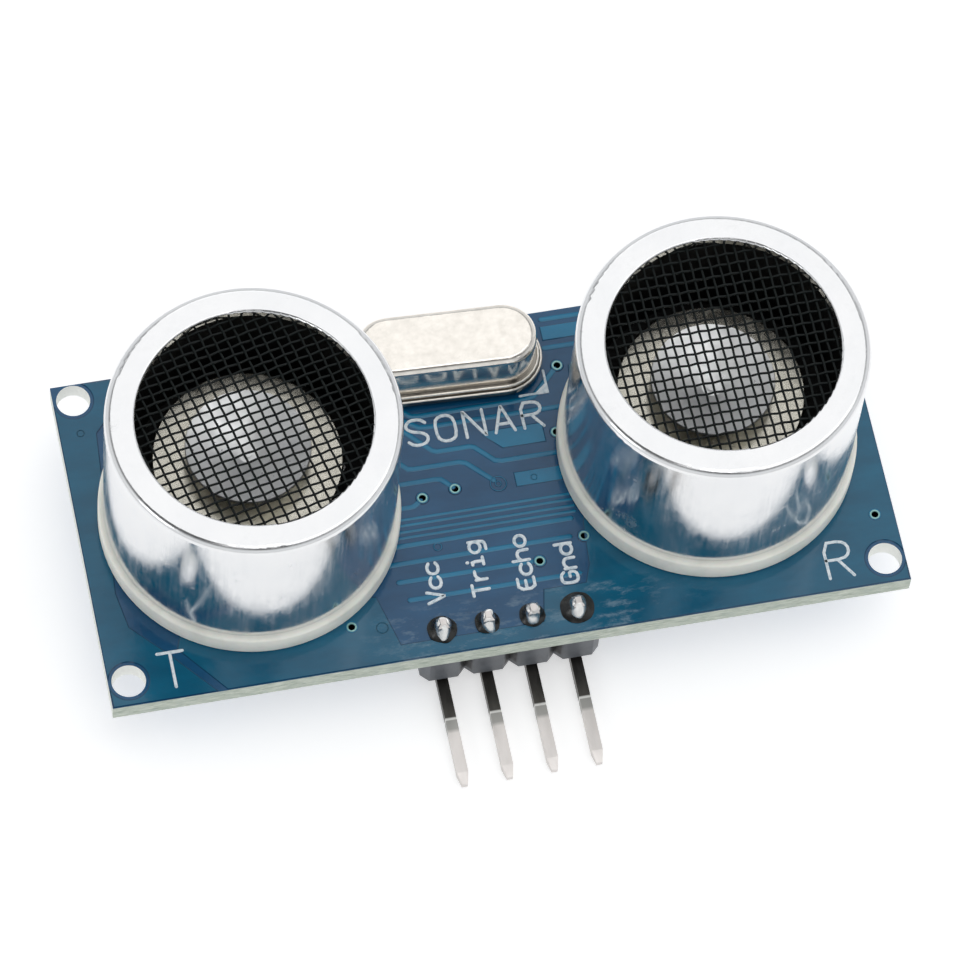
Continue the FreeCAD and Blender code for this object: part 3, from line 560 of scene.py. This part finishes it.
def slab(shape, outline, bottom, top, slope=TRACK_SLOPE, holes=()):
    """A low flat area with sloping sides, from its outline taken anticlockwise, with holes in it."""
    borders = {bottom: [], top: []}
    for loop in (outline, *[list(reversed(hole)) for hole in holes]):
        foot = [Vector(point) for point in loop]
        crown = [point + left * slope for point, left in zip(foot, mitres(foot, True))]
        rows = {}
        for level, ring in ((bottom, foot), (top, crown)):
            row = rows[level] = [shape.verts.new((point.x, point.y, level)) for point in ring]
            borders[level] += [shape.edges.new((vert, row[i - 1])) for i, vert in enumerate(row)]
        for i in range(len(foot)):
            shape.faces.new((rows[bottom][i - 1], rows[bottom][i], rows[top][i], rows[top][i - 1]))
    for border in borders.values():
        bmesh.ops.triangle_fill(shape, edges=border, use_beauty=True)


# --- copper and vias -----------------------------------------------------------------------------
def front_tracks():
    """Copper under the mask on the board's front: tracks, small rings and a ring round each via."""
    shape = bmesh.new()
    crown = FRONT + TRACK_HEIGHT
    paths = [
        [(-3.7, 5.2), (-2.9, 4.45), (3.5, 4.45), (4.1, 4.55), (5.6, 6.05)],
        [(-4.6, 5.2), (-3.5, 4.35), (-2.55, 3.7), (5.6, 3.7)],
        [(-4.3, 4.4), (-3.35, 3.45), (-2.1, 2.1), (0.1, 2.1), (1.25, 0.92), (4.9, 0.92)],
        [(-5.2, 2.6), (-4.3, 1.85), (-3.7, 1.25), (-0.6, 1.25), (0.85, -0.2)],
        [(-6.0, 0.42), (-2.1, 0.42), (-1.5, -0.2)],
        [(-6.2, -1.05), (-3.9, -1.05), (-3.45, -0.75)],
        [(-6.2, -3.35), (4.6, -3.25)],
        [(-6.0, -4.4), (4.3, -4.35)],
        [(-5.6, -5.5), (1.9, -5.5)],
        [(-5.2, -6.65), (4.4, -6.65)],
        [(5.5, 9.25), (12.0, 9.25)],
        [(5.3, 7.45), (11.0, 7.45)],
    ]
    for path in paths:
        ribbon(shape, softened(path, amount=0.08), 0.34, FRONT, crown, TRACK_SLOPE)
    for y in (-1.75, -2.1, -2.5, -2.85):
        ribbon(shape, [(-6.3, y), (4.9, y)], 0.22, FRONT, crown, TRACK_SLOPE)
    for radius, spot in ((0.45, (1.05, -0.45)), (0.16, (1.05, -0.45)), (0.17, (3.1, -0.4)),
                         (0.22, (-3.05, -3.7)), (0.2, (-21.3, 6.65)), (0.32, (-7.05, -8.05))):
        ribbon(shape, circle(*spot, radius), 0.11, FRONT, crown, 0.04, closed=True)
    for x, y in VIAS:
        ribbon(shape, circle(x, y, VIA_HOLE_R + 0.12), 0.15, FRONT, crown + 0.015, 0.05, closed=True)
    piece_from("front_tracks", shape, "mask_over_copper")


def front_pours():
    """Wide copper areas under the mask: both ends, the strip by the header and three small patches."""
    x0, x1 = BOARD_LOW.x + POUR_MARGIN, BOARD_HIGH.x - POUR_MARGIN
    y0, y1 = BOARD_LOW.y + POUR_MARGIN, BOARD_HIGH.y - POUR_MARGIN
    hole_x, hole_y = MOUNT_HOLE
    radius = MOUNT_HOLE_R + POUR_CLEARANCE
    by_side = math.degrees(math.acos((x1 - hole_x) / radius))
    by_end = math.degrees(math.asin((y1 - hole_y) / radius))
    left_end = (arc(-hole_x, -hole_y, radius, 180 - by_side, by_side - 180, 36)
                + [(x0, y0), (-16.6, y0), (-18.9, -7.5), (-20.75, -5.55), (-21.1, -3.4), (-20.4, 6.5),
                   (-17.5, y1)]
                + arc(-hole_x, hole_y, radius, by_end, by_side - 180))
    header_strip = ([(-16.1, y0), (x1, y0)]
                    + arc(hole_x, -hole_y, radius, -by_side, by_side - 360, 36)
                    + arc(hole_x, hole_y, radius, -by_side, -180 - by_end)
                    + [(12.4, y1), (11.5, 6.9), (6.4, 6.2), (6.2, 4.3), (6.4, -1.0), (5.2, -3.6), (5.0, -6.2),
                       (4.6, -7.25), (2.2, -7.25), (1.8, -9.2), (-6.2, -9.2), (-7.0, -6.1), (-18.0, -6.1),
                       (-18.4, -7.35)])
    patch = [(1.0, 2.9), (0.75, 2.62), (1.75, 1.65), (4.25, 1.65), (4.25, 2.9)]
    small_patch = [(2.0, -0.85), (4.7, -0.85), (4.7, 0.1), (2.0, 0.1)]
    crystal_field = [(5.3, 7.9), (11.2, 7.9), (11.2, 8.85), (5.3, 8.85)]
    top = FRONT + TRACK_HEIGHT
    shape = bmesh.new()
    slab(shape, left_end, FRONT, top)
    slab(shape, header_strip, FRONT, top, holes=[circle(x, y, VIA_HOLE_R + 0.05, 20) for x, y in POURED_VIAS])
    piece_from("front_pours", shape, "mask_over_pour", FLAT_CREASE)
    shape = bmesh.new()
    for outline in (patch, small_patch, crystal_field):
        slab(shape, outline, FRONT, top)
    piece_from("front_patches", shape, "mask_over_copper", FLAT_CREASE)


def via_barrels():
    """Plated through-holes: a thin tube with a ring on both faces, closed by mask at the back."""
    shape = bmesh.new()
    bore = VIA_HOLE_R - 0.015
    wall = VIA_HOLE_R - 0.005
    ring = VIA_HOLE_R + 0.08
    lip = 0.045
    profile = [(0, BACK - lip), (ring, BACK - lip), (ring + 0.05, BACK - 0.005), (wall, BACK - 0.005),
               (wall, FRONT + 0.005), (ring + 0.03, FRONT + 0.005), (ring, FRONT + lip),
               (bore + 0.02, FRONT + lip), (bore, FRONT + lip * 0.4), (bore, BACK + 0.1), (0, BACK + 0.1)]
    for x, y in VIAS:
        turned(shape, profile, (x, y, 0), 28)
    bmesh.ops.remove_doubles(shape, verts=shape.verts, dist=WELD)
    piece_from("via_barrels", shape, "via")


# --- printed labels ------------------------------------------------------------------------------
# Each stroke letter stands on a base line at 0, four units wide; capitals are six units tall.
ROUND_O = [(1.2, 4), (2.8, 4), (4, 2.9), (4, 1.1), (2.8, 0), (1.2, 0), (0, 1.1), (0, 2.9)]
OPEN_C = [(3.9, 3.3), (2.9, 4), (1.2, 4), (0, 2.9), (0, 1.1), (1.2, 0), (2.9, 0), (3.9, 0.7)]
LETTERS = {
    "A": [[(0, 0), (1.9, 6), (2.1, 6), (4, 0)], [(0.75, 1.9), (3.25, 1.9)]],
    "E": [[(3.9, 6), (0, 6), (0, 0), (3.9, 0)], [(0, 3.1), (3, 3.1)]],
    "G": [[(4, 4.9), (3, 6), (1, 6), (0, 5), (0, 1), (1, 0), (3, 0), (4, 1), (4, 2.8), (2.3, 2.8)]],
    "N": [[(0, 0), (0, 6), (0.2, 6), (3.8, 0), (4, 0), (4, 6)]],
    "O": [[(1.1, 6), (2.9, 6), (4, 4.9), (4, 1.1), (2.9, 0), (1.1, 0), (0, 1.1), (0, 4.9)]],
    "R": [[(0, 0), (0, 6), (2.9, 6), (4, 5.2), (4, 3.8), (2.9, 3), (0, 3)], [(1.9, 3), (4, 0)]],
    "S": [[(4, 5.1), (3, 6), (1, 6), (0, 5.1), (0, 4.1), (1, 3.3), (3, 2.8), (4, 2), (4, 0.9), (3, 0), (1, 0),
           (0, 0.9)]],
    "T": [[(0, 6), (4, 6)], [(2, 6), (2, 0)]],
    "V": [[(0, 6), (1.9, 0), (2.1, 0), (4, 6)]],
    "c": [OPEN_C],
    "d": [ROUND_O, [(4, 6), (4, 0)]],
    "g": [ROUND_O, [(4, 4), (4, -1), (3, -2), (0.8, -2)]],
    "h": [[(0, 6), (0, 0)], [(0, 2.8), (1.3, 4), (2.9, 4), (3.8, 3), (3.8, 0)]],
    "i": [[(0.9, 4), (2, 4), (2, 0)], [(0.7, 0), (3.3, 0)], [(2, 5.7), (2, 5.9)]],
    "n": [[(0, 4), (0, 0)], [(0, 2.8), (1.3, 4), (2.9, 4), (3.8, 3), (3.8, 0)]],
    "o": [ROUND_O],
    "r": [[(0.5, 4), (0.5, 0)], [(0.5, 2.5), (1.8, 4), (3.6, 4)]],
}
CLOSED_STROKES = [ROUND_O, LETTERS["O"][0]]


def write(shape, words, start, unit, spacing, stroke, upward=False, tall=1.0):
    """Stroke letters as raised ink, along +X or, turned a quarter, along +Y."""
    for index, letter in enumerate(words):
        for stroke_number, path in enumerate(LETTERS[letter]):
            closed = path in CLOSED_STROKES
            line = softened(path, closed)
            placed = []
            for point in line:
                along = index * spacing + point.x * unit
                up = point.y * unit * tall
                across, onward = (-up, along) if upward else (along, up)
                placed.append((start[0] + across, start[1] + onward))
            bottom = FRONT + 0.0005 * stroke_number         # keeps crossing strokes apart
            ribbon(shape, placed, stroke, bottom, bottom + TRACK_HEIGHT + INK_HEIGHT, INK_SLOPE, closed)


def printed_labels():
    """The board's printing: a word, four pin functions, two letters and a corner round the crystal."""
    shape = bmesh.new()
    write(shape, "SONAR", (-3.35, 2.66), 0.275, 1.64, INK_STROKE, tall=0.96)
    names = ("Vcc", "Trig", "Echo", "Gnd")
    starts = ((-3.3, -7.05), (-0.75, -7.05), (1.8, -7.1), (4.25, -7.15))
    for name, start in zip(names, starts):
        write(shape, name, start, 0.166, 0.875, INK_STROKE, upward=True, tall=0.92)
    write(shape, "T", (-19.55, -9.55), 0.35, 1, INK_STROKE)
    write(shape, "R", (18.05, -9.45), 0.345, 1, INK_STROKE, tall=1.05)
    piece_from("front_labels", shape, "ink")

    outline = bmesh.new()
    centre = node_centre("crystal_base")
    x, y = centre.x + 5.45, centre.y - 2.55
    corner = [(x, centre.y - 1.2), (x, y), (x - 1.6, y)]
    ribbon(outline, corner, 0.15, FRONT, FRONT + TRACK_HEIGHT + INK_HEIGHT, INK_SLOPE)
    wedge = [(x, y), (x, y + 0.6), (x - 0.75, y)]
    bottom = FRONT + 0.001
    rings = [[(x, y, z) for x, y in wedge] for z in (bottom, bottom + TRACK_HEIGHT + INK_HEIGHT)]
    add_rings(outline, rings)
    piece_from("crystal_outline", outline, "ink", FLAT_CREASE)


# --- solder --------------------------------------------------------------------------------------
def uneven(seed, amount, size):
    """A small smooth displacement that makes a turned shape look hand-soldered."""
    shift = Vector((seed * 7.3, seed * 3.1, seed * 5.7))

    def wobble(point):
        push = noise.noise_vector(point / size + shift)
        return point + Vector((push.x, push.y, push.z * 0.6)) * amount

    return wobble


def header_joints():
    """Solder on the header's pins: a bright lumpy column on each, in a hollow near-black skirt, partly burnt
    flux and partly a painted dark reflection of the solder's foot.
    """
    solder = bmesh.new()
    flux_and_reflection = bmesh.new()
    sizes = (0.84, 0.70, 0.72, 0.96)
    for seed, (x, size) in enumerate(zip(PIN_COLUMNS, sizes), start=1):
        top = PIN_TOP - FRONT - 0.02
        wide = 0.2 + 0.28 * size
        column = [(0.0, 0.05), (wide, 0.05), (wide * 1.05, 0.3), (wide, 0.5), (wide * 0.84, 0.75),
                  (0.33, top - 0.14), (0.24, top - 0.03), (0.0, top)]
        lumpy = uneven(seed, 0.12, 0.5)

        def drawn_out(point):
            spread = 1.0 + 0.75 * max(0.0, 1.0 - point.z / 0.7)
            return lumpy(Vector((point.x, min(point.y, point.y * spread), point.z)))

        turned(solder, column, (x, PIN_Y, FRONT), 36, drawn_out)
        skirt = [(0.3, 0.0), (size, 0.0), (size, 0.06), (size * 0.86, 0.13), (size * 0.7, 0.25),
                 (wide, 0.42), (0.3, 0.42)]
        turned(flux_and_reflection, skirt, (x, PIN_Y, FRONT), 44, uneven(seed + 10, 0.06, 0.6))
    for shape in (solder, flux_and_reflection):
        bmesh.ops.remove_doubles(shape, verts=shape.verts, dist=WELD)
    joints = piece_from("header_solder_joints", solder, "solder")
    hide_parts("header_solder")
    piece_from("header_flux_and_reflection_rings", flux_and_reflection, "burnt_flux")


def back_joints():
    """Solder on the back: transducer terminals and crystal leads, standing on tinned pads."""
    for side, centre in TRANSDUCERS.items():
        shape = bmesh.new()
        for number, way in enumerate((-1, 1)):
            profile = [(0.0, -0.01), (1.1, -0.01), (1.07, -0.09), (0.78, -0.2), (0.6, -0.42), (0.5, -0.66),
                       (0.36, -0.84), (0.0, -0.93)]
            seed = 30 + number + 5 * centre.x
            spot = (centre.x + way * TERMINAL_REACH, centre.y, BACK)
            turned(shape, profile, spot, 36, uneven(seed, 0.1, 0.8))
        bmesh.ops.remove_doubles(shape, verts=shape.verts, dist=WELD)
        piece = piece_from(side + "_solder_joints", shape, "solder")
        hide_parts(side + "_solder")
    low, high = node_box("crystal_leads")
    shape = bmesh.new()
    lead_r = 0.215
    spots = ((low.x + lead_r, high.y - lead_r), (high.x - lead_r, low.y + lead_r))
    for number, (x, y) in enumerate(spots):
        profile = [(0.0, -0.01), (0.75, -0.01), (0.72, -0.08), (0.45, -0.22), (0.33, -0.45),
                   (0.26, -0.62), (0.0, -0.66)]
        turned(shape, profile, (x, y, BACK), 30, uneven(50 + number, 0.07, 0.6))
    bmesh.ops.remove_doubles(shape, verts=shape.verts, dist=WELD)
    piece = piece_from("crystal_solder_joints", shape, "solder")
    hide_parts("crystal_solder")


def stadium(centre, length, width, turn, steps=14):
    """Points anticlockwise round a flat oval with straight sides."""
    radius = width / 2
    reach = length / 2 - radius
    points = arc(reach, 0, radius, -90, 90, steps) + arc(-reach, 0, radius, 90, 270, steps)
    spin = Matrix.Rotation(math.radians(turn), 2)
    return [spin @ Vector(point) + Vector(centre.xy) for point in points]


def crystal_beads():
    """Rolled edges of the crystal: a bead round the can's welded foot and one round its base plate."""
    shape = bmesh.new()
    centre = node_centre("crystal_can")
    seam = node_box("crystal_can")[0].z
    turns = [2 * math.pi * k / 10 for k in range(10)]
    for length, width, height in ((10.59, 4.19, seam + 0.25), (10.94, 4.54, seam - 0.01)):
        path = [point.to_3d() for point in stadium(centre, length, width, CRYSTAL_TURN)]
        sides = [left.to_3d() for left in mitres([point.xy for point in path], True)]
        rings = []
        for point, side in zip(path, sides):
            rings.append([point + side * BEAD_R * math.cos(t) + Vector((0, 0, height + BEAD_R * math.sin(t)))
                          for t in turns])
        add_rings(shape, rings, closed=True)
    piece_from("crystal_beads", shape, "rolled_nickel")


# --- woven screens -------------------------------------------------------------------------------
def wire(shape, points, radius, sides=8):
    """A thin round wire through points that all lie in one upright plane."""
    heading = (points[-1] - points[0]).normalized()
    side = Vector((-heading.y, heading.x, 0)).normalized()
    rings = []
    for i, point in enumerate(points):
        run = (points[min(i + 1, len(points) - 1)] - points[max(i - 1, 0)]).normalized()
        up = run.cross(side).normalized()
        rings.append([point + side * radius * math.cos(2 * math.pi * k / sides)
                      + up * radius * math.sin(2 * math.pi * k / sides) for k in range(sides)])
    add_rings(shape, rings)


def woven_screen(side):
    """Plain-woven wire cloth under one can's rim: every wire passes over and under in turn."""
    low, high = node_box(side + "_screen")
    centre = (low + high) / 2
    reach = (high.x - low.x) / 2 - 0.06
    turn = Matrix.Rotation(math.radians(SCREEN_TURNS[side]), 3, "Z")
    shape = bmesh.new()
    for across in (0, 1):
        along_pitch = SCREEN_PITCHES[across]
        between_pitch = SCREEN_PITCHES[1 - across]
        count = int(reach / between_pitch)
        for number in range(-count, count + 1):
            offset = number * between_pitch
            half = math.sqrt(reach ** 2 - offset ** 2)
            steps = int(half / (along_pitch / 2))
            points = []
            for step in range(-steps, steps + 1):
                along = step * along_pitch / 2
                over = math.cos(math.pi * step / 2) * (-1) ** number * (1 if across == 0 else -1)
                stray = 0.035 * noise.noise(Vector((along / 3.1, offset * 1.7, 20 * across + centre.x)))
                local = Vector((along, offset + stray, over * SCREEN_WEAVE))
                if across:
                    local = Vector((local.y, local.x, local.z))
                points.append(turn @ local + centre)
            if len(points) > 2:
                wire(shape, points, SCREEN_WIRE_R)
    piece = piece_from(side + "_woven_screen", shape, "screen_wire")
    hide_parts(side + "_screen")


# --- the back of the board -----------------------------------------------------------------------
def rectangle(x, y, half_x, half_y):
    """Corners anticlockwise."""
    return [(x + side * half_x, y + end * half_y) for side, end in ((-1, -1), (1, -1), (1, 1), (-1, 1))]


def loose_parts(node):
    """Boxes of a CAD node's separate solids, in millimetres."""
    shape = bmesh.new()
    shape.from_mesh(frame["nodes"][node].data)
    bmesh.ops.remove_doubles(shape, verts=shape.verts, dist=1e-7)
    seen = set()
    boxes = []
    for vert in shape.verts:
        if vert.index in seen:
            continue
        stack = [vert]
        seen.add(vert.index)
        found = []
        while stack:
            here = stack.pop()
            found.append(here.co / MM)
            for edge in here.link_edges:
                other = edge.other_vert(here)
                if other.index not in seen:
                    seen.add(other.index)
                    stack.append(other)
        low = Vector(tuple(min(p[a] for p in found) for a in range(3)))
        high = Vector(tuple(max(p[a] for p in found) for a in range(3)))
        boxes.append((low, high))
    shape.free()
    return boxes


def back_pads():
    """Tinned pads under every part on the back."""
    shape = bmesh.new()
    for node in ("resistor_ends", "capacitor_ends", "transistor_leads",
                 "controller_leads", "driver_leads", "amplifier_leads"):
        for low, high in loose_parts(node):
            centre = (low + high) / 2
            pad = rectangle(centre.x, centre.y, (high.x - low.x) / 2 + 0.12, (high.y - low.y) / 2 + 0.12)
            slab(shape, pad, BACK, BACK - TRACK_HEIGHT, 0.03)
    piece_from("back_pads", shape, "solder", FLAT_CREASE)


def back_tracks():
    """Copper tracks under the mask on the back, joining the parts in rows."""
    shape = bmesh.new()
    crown = BACK - TRACK_HEIGHT
    for side in (-1, 1):
        for row in (-1, 1):
            ribbon(shape, [(side * 7.0, row * 5.1), (side * 17.8, row * 5.1)], 0.3, BACK, crown, 0.05)
            path = [(side * 7.4, row * 7.55), (side * 17.4, row * 7.55), (side * 19.0, row * 6.0),
                    (side * 19.0, row * 2.0)]
            ribbon(shape, path, 0.4, BACK, crown, 0.05)
        for y in (-4.0, -2.7, 2.7, 4.0):
            path = [(side * 9.8, y), (side * 8.6, y + 0.5), (side * 5.0, y + 0.5)]
            ribbon(shape, path, 0.22, BACK, crown, 0.04)
    for index, x in enumerate(PIN_COLUMNS):
        fanned = x + 0.4 * (index - 1.5)
        ribbon(shape, [(x, PIN_Y + 1.5), (x, -6.2), (fanned, -5.4), (fanned, -4.6)], 0.3, BACK, crown, 0.05)
    for way in (-1, 1):
        edge_y, edge_x = way * (BOARD_HIGH.y - 0.6), way * (BOARD_HIGH.x - 0.6)
        for path in ([(-19.6, edge_y), (19.6, edge_y)], [(edge_x, -7.2), (edge_x, 7.2)]):
            ribbon(shape, path, 0.7, BACK, crown, TRACK_SLOPE)
    piece_from("back_tracks", shape, "mask_over_copper")


# --- assembling the looks ------------------------------------------------------------------------
def dress_cad_nodes():
    """Give every CAD node the procedural finish of its material slot, and soften the moulded edges."""
    for row in frame["record"]["subparts"]:
        node = frame["nodes"][row["node"]]
        node.data.materials.clear()
        node.data.materials.append(FINISHES[row["material_slot"]].material)
    for name, width in (("header_housing", 0.06), ("controller_body", 0.04), ("driver_body", 0.04),
                        ("amplifier_body", 0.04), ("transistor_body", 0.03), ("resistor_ends", 0.04),
                        ("capacitor_ends", 0.06), ("header_pin_1", 0.05), ("header_pin_2", 0.05),
                        ("header_pin_3", 0.05), ("header_pin_4", 0.05)):
        bevel = frame["nodes"][name].modifiers.new("soft_edges", "BEVEL")
        bevel.width = width * MM
        bevel.segments = 2
        bevel.limit_method = "ANGLE"


def add_floor():
    """A plain white table just under the lowest point. It glows a little, to be as white as the photo's."""
    mesh = bpy.data.meshes.new("floor")
    reach = 4.0
    level = cad_box[0].z - 0.00001
    corners = [(-reach, -reach, level), (reach, -reach, level), (reach, reach, level), (-reach, reach, level)]
    mesh.from_pydata(corners, [], [(0, 1, 2, 3)])
    finish = Finish("white_table", Roughness=0.9, Specular_IOR_Level=0.1, Emission_Strength=0.5)
    reach_x, reach_y = (finish.calc("POWER", finish.axis(name), 2.0) for name in ("X", "Y"))
    away = finish.calc("SQRT", finish.calc("ADD", reach_x, reach_y))
    finish.paint("Base Color", finish.blend(finish.remap(away, 45, 220), (0.78,) * 3, (0.62,) * 3))
    finish.paint("Emission Color", finish.blend(finish.remap(away, 45, 220), (1.0,) * 3, (0.62,) * 3))
    mesh.materials.append(finish.material)
    floor = bpy.data.objects.new("floor", mesh)
    bpy.context.scene.collection.objects.link(floor)


def add_light(name, towards, distance, width, depth, radiance):
    """A softbox in the given direction from the sensor, shining back at it."""
    lamp = bpy.data.lights.new(name, "AREA")
    lamp.shape = "RECTANGLE"
    lamp.size = width
    lamp.size_y = depth
    lamp.energy = radiance * math.pi * width * depth
    box = bpy.data.objects.new(name, lamp)
    way = Vector(towards).normalized()
    box.location = way * distance
    box.rotation_mode = "QUATERNION"
    box.rotation_quaternion = way.to_track_quat("Z", "Y")
    bpy.context.scene.collection.objects.link(box)


def add_lights():
    """White surroundings that darken overhead, and three softboxes: large, a strip in front of it, left."""
    world = bpy.data.worlds.new("white_surroundings")
    world.use_nodes = True
    tree = world.node_tree
    sky = tree.nodes["Background"]
    sky.inputs["Color"].default_value = (0.97, 0.985, 1.0, 1.0)
    split = tree.nodes.new("ShaderNodeSeparateXYZ")
    tree.links.new(tree.nodes.new("ShaderNodeTexCoord").outputs["Generated"], split.inputs[0])
    shade = tree.nodes.new("ShaderNodeMapRange")
    tree.links.new(split.outputs["Z"], shade.inputs["Value"])
    for socket, value in (("From Min", 0.45), ("From Max", 0.82), ("To Min", 0.85), ("To Max", 0.12)):
        shade.inputs[socket].default_value = value
    tree.links.new(shade.outputs[0], sky.inputs["Strength"])
    bpy.context.scene.world = world
    add_light("softbox_above", (0.169, 0.157, 1.0), 0.42, 0.62, 0.432, 1.04)
    add_light("softbox_overhead", (0.14, -0.21, 1.0), 0.38, 0.46, 0.07, 0.9)
    add_light("softbox_left", (-0.9, -0.3, 0.55), 0.6, 0.2, 0.2, 1.6)


def add_camera():
    """A long lens looking steeply down at the front, turned to the left and tipped a little."""
    azimuth, elevation, roll = (math.radians(angle) for angle in (-17.77, 63.37, 6.94))
    back = Vector((math.sin(azimuth) * math.cos(elevation), -math.cos(azimuth) * math.cos(elevation),
                   math.sin(elevation)))
    right = (-back).cross(Vector((0, 0, 1))).normalized()
    up = right.cross(-back).normalized()
    side = right * math.cos(roll) + up * math.sin(roll)
    top = up * math.cos(roll) - right * math.sin(roll)
    lens = bpy.data.cameras.new("camera")
    lens.lens = 248.26
    lens.sensor_width = 36.0
    lens.clip_start = 0.01
    camera = bpy.data.objects.new("camera", lens)
    aim = Vector((0.09, -0.05, FRONT)) * MM
    turn = Matrix((side, top, back)).transposed()
    camera.matrix_world = Matrix.Translation(aim + back * 369.13 * MM) @ turn.to_4x4()
    bpy.context.scene.collection.objects.link(camera)
    bpy.context.scene.camera = camera


dress_cad_nodes()
front_pours()
front_tracks()
via_barrels()
printed_labels()
header_joints()
back_joints()
crystal_beads()
for transducer in TRANSDUCERS:
    woven_screen(transducer)
back_pads()
back_tracks()
add_floor()
add_lights()
add_camera()
bpy.context.scene.view_settings.view_transform = "Standard"
